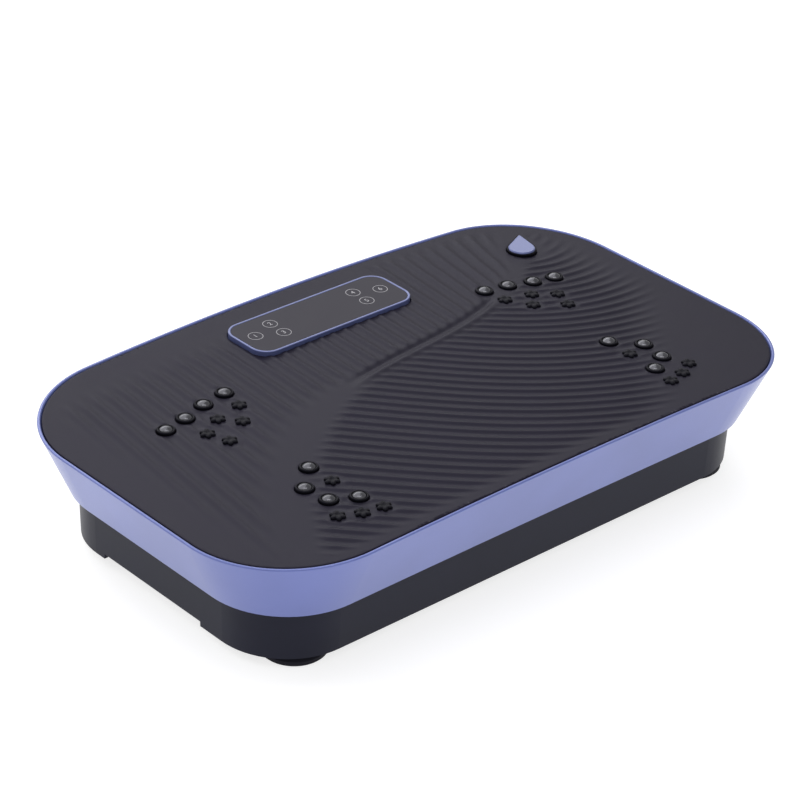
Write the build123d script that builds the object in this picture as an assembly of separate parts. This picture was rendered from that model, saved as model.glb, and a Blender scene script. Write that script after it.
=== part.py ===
"""Vibration plate: a flared, arched deck that rocks on a centre pivot above a flat base.

X runs along the plate, Y towards the control panel's edge, Z up. Z is 0 on the floor, under the feet.
A motor turns a cranked shaft through a belt. Two rods on the shaft's eccentrics push the deck up on one
side while they pull it down on the other. All sizes are in millimetres.
"""

import os
from math import acos, atan, cos, degrees, radians, sin, sqrt, tan

from build123d import *

os.makedirs("parts", exist_ok=True)

# ---- Deck outline and arch ----
DECK_LENGTH = 530.0  # over the rim, at the level of its two ends
DECK_WIDTH = 312.0  # over the rim, at the level of its two ends
DECK_CORNER = 86.0
RIM_END_LEVEL = 96.0
ARCH_RISE = 9.1  # how much higher the rim stands at mid-length
SKIRT_FLARE = 0.432  # how far the skirt leans out for each millimetre of height
SKIRT_DEPTH = 49.3
SKIRT_EDGE_RISE = 2.6  # arch of the skirt's lower edge
SKIRT_WALL = 2.6
SKIRT_EDGE_ROUND = 0.9
LEDGE_WIDTH = 9.0
LEDGE_THICKNESS = 2.4
LEDGE_SCREW_INSET = 6.2  # from the skirt's inner face
LEDGE_SCREW_SPREAD = (0.55, 0.32)  # outer screws' share of the way to the corner, along X and Y
MAT_BELOW_RIM = 0.4
MAT_THICKNESS = 3.0
MAT_EDGE_GAP = 1.0
MAT_TRIM_GAP = 1.4  # around the corner cap
MAT_COLLAR_GAP = 0.2
COVER_THICKNESS = 3.0
COVER_EDGE_GAP = 0.3
COVER_BOSS_RADIUS = 6.0
COVER_BOSS_INSET = 18.0  # from the steel deck plate's edges

# ---- Base tray and feet ----
BASE_STEP = 6.8  # the tray's face stands this far inside the skirt's lower edge
BASE_DRAFT = 0.031  # how far the tray's face leans out for each millimetre of height
BASE_CORNER = 56.0
TRAY_WALL = 3.0
TRAY_BOTTOM = 8.0
TRAY_FLOOR_RECESS = 4.0
TRAY_FLOOR = 3.0
TRAY_OVERLAP = 17.0  # how far the tray's wall reaches up inside the skirt
NOTCH_DEPTH = 3.9
NOTCH_FRONT = -47.0
NOTCH_REAR = 61.0
FOOT_INSET = (41.0, 29.5)  # foot centre from the tray's end and long side
FOOT_TOP_RADIUS = 22.0
FOOT_WAIST_RADIUS = 24.0
FOOT_SOLE_RADIUS = 22.8
FOOT_SOLE_BEVEL = 1.2
FOOT_CUP_RADIUS = 13.0
FOOT_CUP_DEPTH = 2.5
FOOT_HEAD_POCKET = 6.5
FOOT_BOSS_RADIUS = 9.0
FOOT_BOSS_HEIGHT = 10.0
FOOT_SCREW_HEAD_RADIUS = 5.6

# ---- Steel plates ----
BASE_PLATE_MARGIN = (61.0, 31.5)  # inside the tray's outline
BASE_PLATE_THICKNESS = 3.0
DECK_PLATE_MARGIN = (55.0, 41.0)  # inside the deck's outline
DECK_PLATE_THICKNESS = 3.0
DECK_PLATE_DROP = 12.0  # underside below the rim's end level
DECK_FLANGE_DEPTH = 14.0
PLATE_CORNER = 12.0
LIGHTENING_RADIUS = 24.0
LIGHTENING_INSET = (55.0, 67.0)  # hole centres from the deck plate's ends and sides

# ---- Rocking pivot ----
ROCK_ANGLE = 1.3  # each way, in degrees
PIVOT_DROP = 24.0  # below the deck plate
PIVOT_EDGE_DISTANCE = 34.5  # from the tray's long side
PIVOT_PIN_RADIUS = 6.0
PIVOT_BUSH_WALL = 2.0
PIVOT_BUSH_LENGTH = 12.0
EAR_THICKNESS = 8.0
EAR_HALF_WIDTH = 18.0
EAR_END_RADIUS = 15.0
BRACKET_GAP = 16.0
BRACKET_SHEET = 4.0
BRACKET_END_RADIUS = 14.0
BRACKET_FOOT = (56.0, 46.0)
BRACKET_BOLT = (21.5, 17.0)

# ---- Crank, rods and bearings ----
ROD_OFFSET = 62.0  # rods from the pivot, along the plate
ROD_PIN_DROP = 16.0  # below the deck plate
ROD_LENGTH = 24.0
ROD_WIDTH = 8.0
ROD_BIG_WALL = 5.0
ROD_EYE_WALL = 3.4
ROD_PIN_RADIUS = 4.0
ECCENTRIC_RADIUS = 10.0
ROD_BEARING_WALL = 6.0
ROD_BEARING_WIDTH = 7.0
CLEVIS_GAP = 12.0
CLEVIS_SHEET = 3.0
CLEVIS_HALF_WIDTH = 11.0
JOURNAL_RADIUS = 7.5
BLOCK_OFFSET = 88.0
BLOCK_WIDTH = 20.0
BLOCK_WALL = 5.5
BLOCK_FOOT = 72.0
BLOCK_FOOT_HEIGHT = 6.0
BLOCK_BOLT = 30.0
MAIN_BEARING_RADIUS = 17.5
MAIN_BEARING_WIDTH = 11.0
SHAFT_END = 12.0  # past the left bearing block
COLLAR_WIDTH = 1.5  # shaft collars beside the bearing blocks

# ---- Motor and belt ----
MOTOR_RADIUS = 28.0
MOTOR_LENGTH = 64.0
MOTOR_WALL = 3.0
MOTOR_GAP = 2.0  # between the motor and the bearing block's foot
MOTOR_CAP = 10.0
MOTOR_SHAFT_RADIUS = 4.0
ARMATURE_RADIUS = 21.0
ARMATURE_LENGTH = 44.0
ARMATURE_SLOTS = 7
ARMATURE_SLOT = (3.0, 6.0)  # width and depth
MOTOR_SHEET = 4.0
MOTOR_FOOT_LENGTH = 54.0
MOTOR_BOLT_INSET = (8.0, 3.0)  # from the foot's ends and sides
CRANK_PULLEY_RADIUS = 24.0
MOTOR_PULLEY_RADIUS = 9.0
PULLEY_FLANGE = 1.8
PULLEY_FLANGE_WIDTH = 1.2
PULLEY_ROOM = 5.0  # around the big pulley in the base plate's slot
PULLEY_HOLES = 5
PULLEY_HOLE_RADIUS = 4.5
BELT_WIDTH = 10.0
BELT_THICKNESS = 2.0
BELT_PLANE = 116.0
BELT_CLEARANCE = 0.15

# ---- Control panel and deck trim ----
PANEL_LENGTH = 150.4
PANEL_DEPTH = 50.2
PANEL_CORNER = 14.0
PANEL_REAR_DISTANCE = 48.6  # panel centre from the deck's rear side
PANEL_RAISE = 2.3  # above the rim at mid-length
BEZEL_LIP = 2.0
BEZEL_LEDGE = 5.5
BEZEL_LEDGE_THICKNESS = 1.8
BEZEL_ROUND = 0.6
GLASS_THICKNESS = 2.0
GLASS_BELOW_BEZEL = 0.2
BOARD_THICKNESS = 1.6
DISPLAY_SIZE = (52.0, 22.0)
KEY_PAD_RADIUS = 4.5
KEY_POINTS = [(14.4, 1.6), (34.7, 9.6), (34.7, -6.4)]  # from each end and from the panel's middle line
DOME_RADIUS = 4.8
DOME_RAISE = 3.4
DOME_CAP = 2.2
COLLAR_RADIUS = 6.8
COLLAR_RAISE = 1.7
COLLAR_ROUND = 1.1
# Dome and stud places, measured in from the deck's end and from its rear or front side.
REAR_DOMES = [(138.3, 92.6), (116.9, 95.8), (96.0, 101.8), (76.2, 105.2)]
FRONT_DOMES = [(119.8, 104.6), (101.0, 86.6), (104.0, 65.2), (122.0, 54.8)]
REAR_STUDS = [(135.7, 112.5), (112.4, 117.5), (123.9, 131.0), (95.0, 128.0), (100.9, 145.2)]
FRONT_STUDS = [(121.0, 81.6), (95.6, 46.1), (110.5, 38.3), (126.5, 34.6)]
STUD_CORE_RADIUS = 4.2
STUD_LOBE_RADIUS = 1.8
STUD_LOBES = 6
STUD_RAISE = 1.8
CAP_INSET = (64.0, 56.0)  # centre of the corner cap's round end, from the deck's end and rear side
CAP_RADIUS = 10.5
CAP_TIP_RADIUS = 1.5
CAP_TIP_REACH = 21.0
CAP_DIRECTION = 51.5
CAP_RAISE = 3.4
CAP_BEVEL = 0.8

# ---- Mains side and electronics ----
INLET_X = -112.0
SWITCH_X = -152.0
INLET_LEVEL = 29.0
INLET_BODY = (28.0, 20.0)
INLET_DEPTH = 21.0
INLET_FLANGE = (34.0, 25.0)
SOCKET_OPENING = (24.0, 16.0)
SOCKET_DEPTH = 16.0
SOCKET_PIN = (2.0, 4.0)
SOCKET_PIN_LENGTH = 10.0
SOCKET_PINS = [(-7.0, -1.5), (0.0, 2.0), (7.0, -1.5)]  # from the socket's centre
SWITCH_BODY = (19.0, 13.0)
SWITCH_FLANGE = (22.0, 16.0)
SWITCH_DEPTH = 16.0
ROCKER_SIZE = (15.2, 9.4)
ROCKER_FACE = (3.2, 4.3)  # face in front of the rocker's pin, at its middle and at its ends
ROCKER_BACK = (5.0, 3.0)  # back behind the pin, at its middle and at its ends
ROCKER_PIN = (1.0, 1.0)  # radius, and how far each end stands out
ROCKER_GAP = 0.5
ROCKER_WELL = 11.0
ROCKER_TILT = 8.0
FLANGE_THICKNESS = 2.0
FLANGE_CORNER = 2.0
POWER_BOARD = (56.0, 104.0)
POWER_BOARD_CENTRE = (-142.0, -10.0)
STANDOFF_HEIGHT = 8.0
STANDOFF_RADIUS = 3.5
STANDOFF_INSET = 5.0  # from the board's edges
HEAT_SINK = (22.0, 46.0, 24.0)
HEAT_SINK_PLACE = (-8.0, -22.0)  # from the board's centre, like the component places below
HEAT_SINK_SLOT = 3.2
HEAT_SINK_PITCH = 5.4
HEAT_SINK_BASE = 5.0
CAPACITORS = [(-14.0, 18.0, 8.0, 25.0), (-14.0, 36.0, 6.0, 18.0)]  # x, y, radius, height
MODULES = [(6.0, 16.0, 16.0, 20.0, 16.0)]  # x, y, length, width, height
MOTOR_TERMINAL = (20.0, -30.0, 9.0, 20.0, 9.0)
MAINS_TERMINAL = (-2.0, 46.0, 20.0, 8.0, 9.0)
PANEL_HEADER = (20.0, 40.0, 12.0, 8.0, 8.0)
CABLE_RADIUS = 2.5
WIRE_RADIUS = 1.4
WIRE_BEND = (14.0, 14.0)
CABLE_BEND = (8.0, 18.0, 14.0, 12.0)

# ---- Clearances and fasteners ----
RUNNING_FIT = 0.05
SLIP = 0.1
SEAT_GAP = 0.3
BOLT_RADIUS = 2.5
BOLT_HEAD_RADIUS = 4.4
BOLT_HEAD = 3.2
SCREW_RADIUS = 1.6
SCREW_HEAD_RADIUS = 3.0
SCREW_HEAD = 2.0
SCREW_SKIN = 0.6  # cover left above a blind screw hole
PIN_COLLAR = 2.0  # how far a pin's head, clip or shaft collar stands out around it
PIN_HEAD = 2.0
CLIP_THICKNESS = 1.4

# ---- Levels and places that follow ----
SKIRT_EDGE_LEVEL = RIM_END_LEVEL - SKIRT_DEPTH
BASE_INSET = SKIRT_FLARE * SKIRT_DEPTH + BASE_STEP + BASE_DRAFT * (SKIRT_EDGE_LEVEL - TRAY_BOTTOM)
BASE_LENGTH = DECK_LENGTH - 2 * BASE_INSET
BASE_WIDTH = DECK_WIDTH - 2 * BASE_INSET
TRAY_TOP = SKIRT_EDGE_LEVEL + TRAY_OVERLAP
FLOOR_UNDERSIDE = TRAY_BOTTOM + TRAY_FLOOR_RECESS
FLOOR_TOP = FLOOR_UNDERSIDE + TRAY_FLOOR
PLATE_TOP = FLOOR_TOP + BASE_PLATE_THICKNESS
DECK_PLATE_LEVEL = RIM_END_LEVEL - DECK_PLATE_DROP
DECK_PLATE_TOP = DECK_PLATE_LEVEL + DECK_PLATE_THICKNESS
PIVOT_LEVEL = DECK_PLATE_LEVEL - PIVOT_DROP
PIVOT_SIDE = BASE_WIDTH / 2 - PIVOT_EDGE_DISTANCE
ROD_PIN_LEVEL = DECK_PLATE_LEVEL - ROD_PIN_DROP
CRANK_LEVEL = ROD_PIN_LEVEL - ROD_LENGTH
CRANK_THROW = ROD_OFFSET * tan(radians(ROCK_ANGLE))
ROD_BEARING_RADIUS = ECCENTRIC_RADIUS + ROD_BEARING_WALL
ROD_EYE_RADIUS = ROD_PIN_RADIUS + 2 * CRANK_THROW + 0.4  # the eye clears its pin at every crank angle
MOTOR_LEVEL = PLATE_TOP + MOTOR_SHEET + MOTOR_RADIUS + SEAT_GAP
MOTOR_SIDE = -(BLOCK_FOOT / 2 + MOTOR_GAP + MOTOR_RADIUS)  # the motor's axis, in front of the crank
SHAFT_TIP = BELT_PLANE + BELT_WIDTH / 2 + 3.0
PULLEY_CUT = (BELT_PLANE - 2 * BELT_WIDTH, BELT_PLANE + 2 * BELT_WIDTH)
MOTOR_FACE = BELT_PLANE - BELT_WIDTH / 2 - PULLEY_FLANGE_WIDTH - MOTOR_SHEET - 5.0
MOTOR_BACK = MOTOR_FACE - MOTOR_LENGTH
COVER_BELOW_RIM = MAT_BELOW_RIM + MAT_THICKNESS
LEDGE_BELOW_RIM = COVER_BELOW_RIM + COVER_THICKNESS
PANEL_CENTRE = DECK_WIDTH / 2 - PANEL_REAR_DISTANCE
PANEL_TOP = RIM_END_LEVEL + ARCH_RISE + PANEL_RAISE
GLASS_UNDERSIDE = PANEL_TOP - GLASS_BELOW_BEZEL - GLASS_THICKNESS
BOARD_TOP = GLASS_UNDERSIDE - BEZEL_LEDGE_THICKNESS
FEET = {
    f"{side}_{end}": (sx * (BASE_LENGTH / 2 - FOOT_INSET[0]), sy * (BASE_WIDTH / 2 - FOOT_INSET[1]))
    for side, sy in (("front", -1), ("rear", 1))
    for end, sx in (("left", -1), ("right", 1))
}
FAR = 2 * DECK_LENGTH
CUT = 5.0  # how far a cutting tool runs past the face that it leaves by
SKIN_CUT = (DECK_PLATE_LEVEL, RIM_END_LEVEL + ARCH_RISE + CUT)


# ---- Helpers ----
def save(name, shape):
    """Writes one sub-part to parts/."""
    export_step(shape, f"parts/{name}.step")


def block(x, y, z):
    """Box between the two ends of each of its three ranges."""
    size = [high - low for low, high in (x, y, z)]
    centre = [(high + low) / 2 for low, high in (x, y, z)]
    return Pos(*centre) * Box(*size)


def centred_block(x, y, length, width, z):
    """Box over a point, between two levels."""
    return block((x - length / 2, x + length / 2), (y - width / 2, y + width / 2), z)


def x_rod(radius, x, y, z):
    """Round bar along X over the range x."""
    return Pos((x[0] + x[1]) / 2, y, z) * Rot(0, 90, 0) * Cylinder(radius, x[1] - x[0])


def y_rod(radius, x, y, z):
    """Round bar along Y over the range y."""
    return Pos(x, (y[0] + y[1]) / 2, z) * Rot(90, 0, 0) * Cylinder(radius, y[1] - y[0])


def z_rod(radius, x, y, z):
    """Upright round bar over the range z."""
    return Pos(x, y, (z[0] + z[1]) / 2) * Cylinder(radius, z[1] - z[0])


def slab(length, width, corner, z):
    """Rounded rectangular plate about the middle, between two levels."""
    return extrude(Pos(0, 0, z[0]) * RectangleRounded(length, width, corner), amount=z[1] - z[0])


def arch_level(x, below=0.0, rise=ARCH_RISE):
    """Level of the arch at x, a given distance below the rim."""
    radius = (DECK_LENGTH**2 / 4 + rise**2) / (2 * rise)
    return RIM_END_LEVEL - below + rise - radius + sqrt(radius**2 - x**2)


def under_arch(below, rise=ARCH_RISE):
    """Everything below an arched surface that runs a given distance under the rim."""
    reach = DECK_LENGTH / 2 + 30
    ends = [(reach, 0, arch_level(reach, below, rise)), (-reach, 0, arch_level(reach, below, rise))]
    arc = ThreePointArc(ends[1], (0, 0, arch_level(0, below, rise)), ends[0])
    sides = Polyline(ends[0], (reach, 0, -20), (-reach, 0, -20), ends[1])
    return extrude(make_face(arc + sides), amount=DECK_WIDTH, both=True)


def flared(inset, low, high):
    """Solid inside the skirt's sloping face moved in by inset, between two levels."""
    grow = SKIRT_FLARE * (high - RIM_END_LEVEL) - inset
    outline = RectangleRounded(DECK_LENGTH + 2 * grow, DECK_WIDTH + 2 * grow, DECK_CORNER + grow)
    return extrude(Pos(0, 0, high) * outline, amount=low - high, taper=degrees(atan(SKIRT_FLARE)))


def drafted(inset, low, high):
    """Solid inside the tray's leaning face moved in by inset, between two levels."""
    grow = BASE_DRAFT * (high - TRAY_BOTTOM) - inset
    outline = RectangleRounded(BASE_LENGTH + 2 * grow, BASE_WIDTH + 2 * grow, BASE_CORNER + grow)
    return extrude(Pos(0, 0, high) * outline, amount=low - high, taper=degrees(atan(BASE_DRAFT)))


def group(solids):
    """Several separate solids in one node."""
    return Compound(children=[solid.solid() for solid in solids])


def bolt_up(x, y, head_level, tip_level, radius=BOLT_RADIUS, head=(BOLT_HEAD_RADIUS, BOLT_HEAD)):
    """Bolt driven from below: its head hangs under head_level and its tip is at tip_level."""
    shank = z_rod(radius, x, y, (head_level - 0.5, tip_level))
    return shank + z_rod(head[0], x, y, (head_level - head[1], head_level))


def bolt_down(x, y, head_level, tip_level):
    """Bolt driven from above: its head stands on head_level."""
    shank = z_rod(BOLT_RADIUS, x, y, (tip_level, head_level + 0.5))
    return shank + z_rod(BOLT_HEAD_RADIUS, x, y, (head_level, head_level + BOLT_HEAD))


def deck_points(inward, side):
    """Mirrored pairs of places on the deck, given from its ends and one long side."""
    points = [(DECK_LENGTH / 2 - dx, side * (DECK_WIDTH / 2 - dy)) for dx, dy in inward]
    return [(sign * x, y) for x, y in points for sign in (-1, 1)]


DOME_POINTS = deck_points(REAR_DOMES, 1) + deck_points(FRONT_DOMES, -1)
STUD_POINTS = deck_points(REAR_STUDS, 1) + deck_points(FRONT_STUDS, -1)


# ---- Deck shell ----
def ledge_screw_points():
    """Places of the screws that hold the skirt's ledge to the cover."""
    inset = SKIRT_FLARE * LEDGE_BELOW_RIM + SKIRT_WALL + LEDGE_SCREW_INSET
    x = DECK_LENGTH / 2 - inset
    y = DECK_WIDTH / 2 - inset
    along = [-LEDGE_SCREW_SPREAD[0] * x, 0.0, LEDGE_SCREW_SPREAD[0] * x]
    across = [-LEDGE_SCREW_SPREAD[1] * y, LEDGE_SCREW_SPREAD[1] * y]
    long_sides = [(px, sy * y) for px in along for sy in (-1, 1)]
    ends = [(sx * x, py) for py in across for sx in (-1, 1)]
    return long_sides + ends


def cover_boss_points():
    """Places where the cover's bosses stand on the steel deck plate."""
    x = DECK_LENGTH / 2 - DECK_PLATE_MARGIN[0] - COVER_BOSS_INSET
    y = DECK_WIDTH / 2 - DECK_PLATE_MARGIN[1] - COVER_BOSS_INSET
    return [(sx * px, sy * y) for px in (x, x / 2) for sx in (-1, 1) for sy in (-1, 1)]


def deck_skirt():
    low, high = SKIRT_EDGE_LEVEL - CUT, SKIN_CUT[1]
    wall = flared(0, low, high) - flared(SKIRT_WALL, low - 1, high + 1)
    wall = (wall & under_arch(0)) - under_arch(SKIRT_DEPTH, SKIRT_EDGE_RISE)
    top_edges = [e for e in wall.edges() if abs(e.center().Z - arch_level(e.center().X)) < 0.5]
    wall = fillet(top_edges, SKIRT_EDGE_ROUND)
    ring = flared(SKIRT_WALL - 0.5, low, high) - flared(SKIRT_WALL + LEDGE_WIDTH, low - 1, high + 1)
    ledge = (ring & under_arch(LEDGE_BELOW_RIM)) - under_arch(LEDGE_BELOW_RIM + LEDGE_THICKNESS)
    for x, y in ledge_screw_points():
        reach = (arch_level(x, LEDGE_BELOW_RIM + LEDGE_THICKNESS + 1), arch_level(x, LEDGE_BELOW_RIM - 1))
        ledge -= z_rod(SCREW_RADIUS + SLIP, x, y, reach)
    return wall + ledge


def panel_slab(margin, z):
    """Rounded slab in the control panel's place, grown by a margin."""
    size = (PANEL_LENGTH + 2 * margin, PANEL_DEPTH + 2 * margin)
    return Pos(0, PANEL_CENTRE, 0) * slab(*size, PANEL_CORNER + margin, z)


def cap_outline(margin):
    """Teardrop outline of the corner cap, grown by a margin, about its round end."""
    round_end, point = CAP_RADIUS + margin, CAP_TIP_RADIUS + margin
    reach = CAP_TIP_REACH - CAP_TIP_RADIUS
    spread = degrees(acos((round_end - point) / reach))

    def at(radius, angle, along=0.0):
        turn = radians(CAP_DIRECTION + angle)
        start = Vector(along * cos(radians(CAP_DIRECTION)), along * sin(radians(CAP_DIRECTION)))
        return start + Vector(radius * cos(turn), radius * sin(turn))

    back = ThreePointArc(at(round_end, spread), at(round_end, 180), at(round_end, -spread))
    tip = ThreePointArc(at(point, -spread, reach), at(point, 0, reach), at(point, spread, reach))
    return make_face(back + Line(back @ 1, tip @ 0) + tip + Line(tip @ 1, back @ 0))


def cap_prism(margin, z):
    place = Pos(DECK_LENGTH / 2 - CAP_INSET[0], DECK_WIDTH / 2 - CAP_INSET[1], z[0])
    return extrude(place * cap_outline(margin), amount=z[1] - z[0])


def deck_cover():
    low, high = SKIN_CUT
    sheet = flared(SKIRT_WALL + COVER_EDGE_GAP, low, high) & under_arch(COVER_BELOW_RIM)
    sheet -= under_arch(LEDGE_BELOW_RIM)
    for x, y in cover_boss_points():
        sheet += z_rod(COVER_BOSS_RADIUS, x, y, (DECK_PLATE_TOP, arch_level(x, COVER_BELOW_RIM + 1)))
        sheet -= z_rod(SCREW_RADIUS + SLIP, x, y, (DECK_PLATE_TOP, arch_level(x, LEDGE_BELOW_RIM)))
    for x, y in ledge_screw_points():
        tip = arch_level(x, COVER_BELOW_RIM + SCREW_SKIN)
        sheet -= z_rod(SCREW_RADIUS + SLIP, x, y, (DECK_PLATE_TOP, tip))
    return sheet - panel_slab(-BEZEL_LIP - BEZEL_LEDGE / 2, (low, high))


def top_mat():
    low, high = SKIN_CUT
    mat = flared(SKIRT_WALL + MAT_EDGE_GAP, low, high) & under_arch(MAT_BELOW_RIM)
    mat -= under_arch(COVER_BELOW_RIM)
    mat -= panel_slab(SEAT_GAP, (low, high))
    mat -= cap_prism(MAT_TRIM_GAP, (low, high))
    for x, y in DOME_POINTS:
        mat -= z_rod(COLLAR_RADIUS + MAT_COLLAR_GAP, x, y, (low, high))
    return mat


def massage_domes():
    under = under_arch(COVER_BELOW_RIM)
    ball_radius = (DOME_RADIUS**2 + DOME_CAP**2) / (2 * DOME_CAP)
    domes = []
    for x, y in DOME_POINTS:
        top = arch_level(x, MAT_BELOW_RIM) + DOME_RAISE
        ball = Pos(x, y, top - ball_radius) * Sphere(ball_radius)
        stem = z_rod(DOME_RADIUS, x, y, (top - DOME_RAISE - MAT_THICKNESS - 2, top - DOME_CAP))
        crown = z_rod(DOME_RADIUS, x, y, (top - DOME_CAP, top)) & ball
        domes.append(stem + crown - under)
    return group(domes)


def dome_collars():
    under = under_arch(COVER_BELOW_RIM)
    collars = []
    for x, y in DOME_POINTS:
        top = arch_level(x, MAT_BELOW_RIM) + COLLAR_RAISE
        outside = z_rod(COLLAR_RADIUS, x, y, (top - COLLAR_RAISE - MAT_THICKNESS - 2, top))
        outside = fillet(outside.edges().sort_by(Axis.Z)[-1:], COLLAR_ROUND)
        bore = z_rod(DOME_RADIUS + SLIP, x, y, (top - COLLAR_RAISE - MAT_THICKNESS - 3, top + 1))
        collars.append(outside - bore - under)
    return group(collars)


def grip_studs():
    under = under_arch(MAT_BELOW_RIM)
    outline = Circle(STUD_CORE_RADIUS)
    for index in range(STUD_LOBES):
        turn = 2 * radians(180) * index / STUD_LOBES
        lobe = Pos(STUD_CORE_RADIUS * cos(turn), STUD_CORE_RADIUS * sin(turn))
        outline += lobe * Circle(STUD_LOBE_RADIUS)
    studs = []
    for x, y in STUD_POINTS:
        level = arch_level(x, MAT_BELOW_RIM)
        stud = extrude(Pos(x, y, level - 1) * outline, amount=STUD_RAISE + 1)
        studs.append(stud - under)
    return group(studs)


def corner_cap():
    centre_x = DECK_LENGTH / 2 - CAP_INSET[0]
    top = arch_level(centre_x, MAT_BELOW_RIM) + CAP_RAISE
    cap = cap_prism(0, (top - CAP_RAISE - MAT_THICKNESS - 3, top)) - under_arch(COVER_BELOW_RIM)
    top_edges = [e for e in cap.edges() if abs(e.center().Z - top) < 0.01]
    return chamfer(top_edges, CAP_BEVEL)


# ---- Control panel ----
def panel_bezel():
    foot = arch_level(PANEL_LENGTH / 2, COVER_BELOW_RIM) - 2
    ring = panel_slab(0, (foot, PANEL_TOP)) - under_arch(COVER_BELOW_RIM)
    ring -= panel_slab(-BEZEL_LIP, (GLASS_UNDERSIDE, PANEL_TOP + 1))
    ring -= panel_slab(-BEZEL_LIP - BEZEL_LEDGE, (foot - 1, PANEL_TOP))
    ring -= panel_slab(-BEZEL_LIP - 1, (foot - 1, BOARD_TOP))
    top_edges = [e for e in ring.edges() if abs(e.center().Z - PANEL_TOP) < 0.01]
    return fillet(top_edges, BEZEL_ROUND)


def panel_glass():
    return panel_slab(-BEZEL_LIP - SLIP, (GLASS_UNDERSIDE, GLASS_UNDERSIDE + GLASS_THICKNESS))


def touch_board():
    board = panel_slab(-BEZEL_LIP - 1 - SEAT_GAP, (BOARD_TOP - BOARD_THICKNESS, BOARD_TOP))
    return board + centred_block(*PANEL_PLUG, *PLUG_SIZE, (PLUG_LEVEL, BOARD_TOP - BOARD_THICKNESS))


def display_module():
    return centred_block(0, PANEL_CENTRE, *DISPLAY_SIZE, (BOARD_TOP, GLASS_UNDERSIDE - 0.2))


def key_pads():
    pads = []
    for inward, y in KEY_POINTS:
        x = PANEL_LENGTH / 2 - inward
        for sign in (-1, 1):
            pads.append(z_rod(KEY_PAD_RADIUS, sign * x, PANEL_CENTRE + y, (BOARD_TOP, GLASS_UNDERSIDE)))
    return group(pads)


# ---- Deck frame ----
def deck_plate():
    length = DECK_LENGTH - 2 * DECK_PLATE_MARGIN[0]
    width = DECK_WIDTH - 2 * DECK_PLATE_MARGIN[1]
    plate = slab(length, width, PLATE_CORNER, (DECK_PLATE_LEVEL, DECK_PLATE_TOP))
    flange = (length - 2 * PLATE_CORNER, DECK_PLATE_THICKNESS)
    flange_level = (DECK_PLATE_TOP - DECK_FLANGE_DEPTH, DECK_PLATE_TOP)
    through = (DECK_PLATE_LEVEL - 1, DECK_PLATE_TOP + 1)
    hole_x = length / 2 - LIGHTENING_INSET[0]
    hole_y = width / 2 - LIGHTENING_INSET[1]
    for sign in (-1, 1):
        plate += centred_block(0, sign * (width - DECK_PLATE_THICKNESS) / 2, *flange, flange_level)
        for x in (-hole_x, hole_x):
            plate -= z_rod(LIGHTENING_RADIUS, x, sign * hole_y, through)
    for x, y in cover_boss_points():
        plate -= z_rod(SCREW_RADIUS + SLIP, x, y, through)
    return plate - z_rod(CABLE_HOLE, *PANEL_PLUG, through)


def pivot_ear(side):
    """Plate welded under the deck plate, with the pivot bush's bore in its round end."""
    y = (side * PIVOT_SIDE - EAR_THICKNESS / 2, side * PIVOT_SIDE + EAR_THICKNESS / 2)
    ear = block((-EAR_HALF_WIDTH, EAR_HALF_WIDTH), y, (PIVOT_LEVEL + EAR_END_RADIUS / 2, DECK_PLATE_LEVEL))
    ear += y_rod(EAR_END_RADIUS, 0, y, PIVOT_LEVEL)
    bore = PIVOT_PIN_RADIUS + PIVOT_BUSH_WALL
    return ear - y_rod(bore, 0, (y[0] - 1, y[1] + 1), PIVOT_LEVEL)


def pivot_bushes():
    bushes = []
    for side in (-1, 1):
        y = (side * PIVOT_SIDE - PIVOT_BUSH_LENGTH / 2, side * PIVOT_SIDE + PIVOT_BUSH_LENGTH / 2)
        outside = y_rod(PIVOT_PIN_RADIUS + PIVOT_BUSH_WALL, 0, y, PIVOT_LEVEL)
        bushes.append(outside - y_rod(PIVOT_PIN_RADIUS + RUNNING_FIT, 0, (y[0] - 1, y[1] + 1), PIVOT_LEVEL))
    return group(bushes)


def rod_clevis(side):
    """Two cheeks under the deck plate that carry one rod's pin."""
    centre = side * ROD_OFFSET
    y = (-CLEVIS_HALF_WIDTH, CLEVIS_HALF_WIDTH)
    inner, outer = CLEVIS_GAP / 2, CLEVIS_GAP / 2 + CLEVIS_SHEET
    web = (DECK_PLATE_LEVEL - CLEVIS_SHEET / 2, DECK_PLATE_LEVEL)
    clevis = block((centre - outer, centre + outer), y, web)
    for sign in (-1, 1):
        x = sorted((centre + sign * inner, centre + sign * outer))
        clevis += block(x, y, (ROD_PIN_LEVEL, DECK_PLATE_LEVEL))
        clevis += x_rod(CLEVIS_HALF_WIDTH, x, 0, ROD_PIN_LEVEL)
    through = (centre - outer - 1, centre + outer + 1)
    return clevis - x_rod(ROD_PIN_RADIUS + RUNNING_FIT, through, 0, ROD_PIN_LEVEL)


def rod_pins():
    pins = []
    outer = CLEVIS_GAP / 2 + CLEVIS_SHEET
    for side in (-1, 1):
        x = side * ROD_OFFSET
        pin = x_rod(ROD_PIN_RADIUS, (x - outer - PIN_HEAD, x + outer + PIN_HEAD), 0, ROD_PIN_LEVEL)
        for sign in (-1, 1):
            head = sorted((x + sign * outer, x + sign * (outer + PIN_HEAD)))
            pin += x_rod(ROD_PIN_RADIUS + PIN_COLLAR, head, 0, ROD_PIN_LEVEL)
        pins.append(pin)
    return group(pins)


# ---- Base ----
def rear_wall_face(level):
    """Y of the tray's rear face at a level."""
    return BASE_WIDTH / 2 + BASE_DRAFT * (level - TRAY_BOTTOM)


def base_plate_screw_points():
    x = BASE_LENGTH / 2 - BASE_PLATE_MARGIN[0] - PLATE_CORNER
    y = BASE_WIDTH / 2 - BASE_PLATE_MARGIN[1] - PLATE_CORNER
    return [(sx * x, sy * y) for sx in (-1, 1) for sy in (-1, 1)] + [(-x / 3, 0), (x / 3, 0)]


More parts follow.
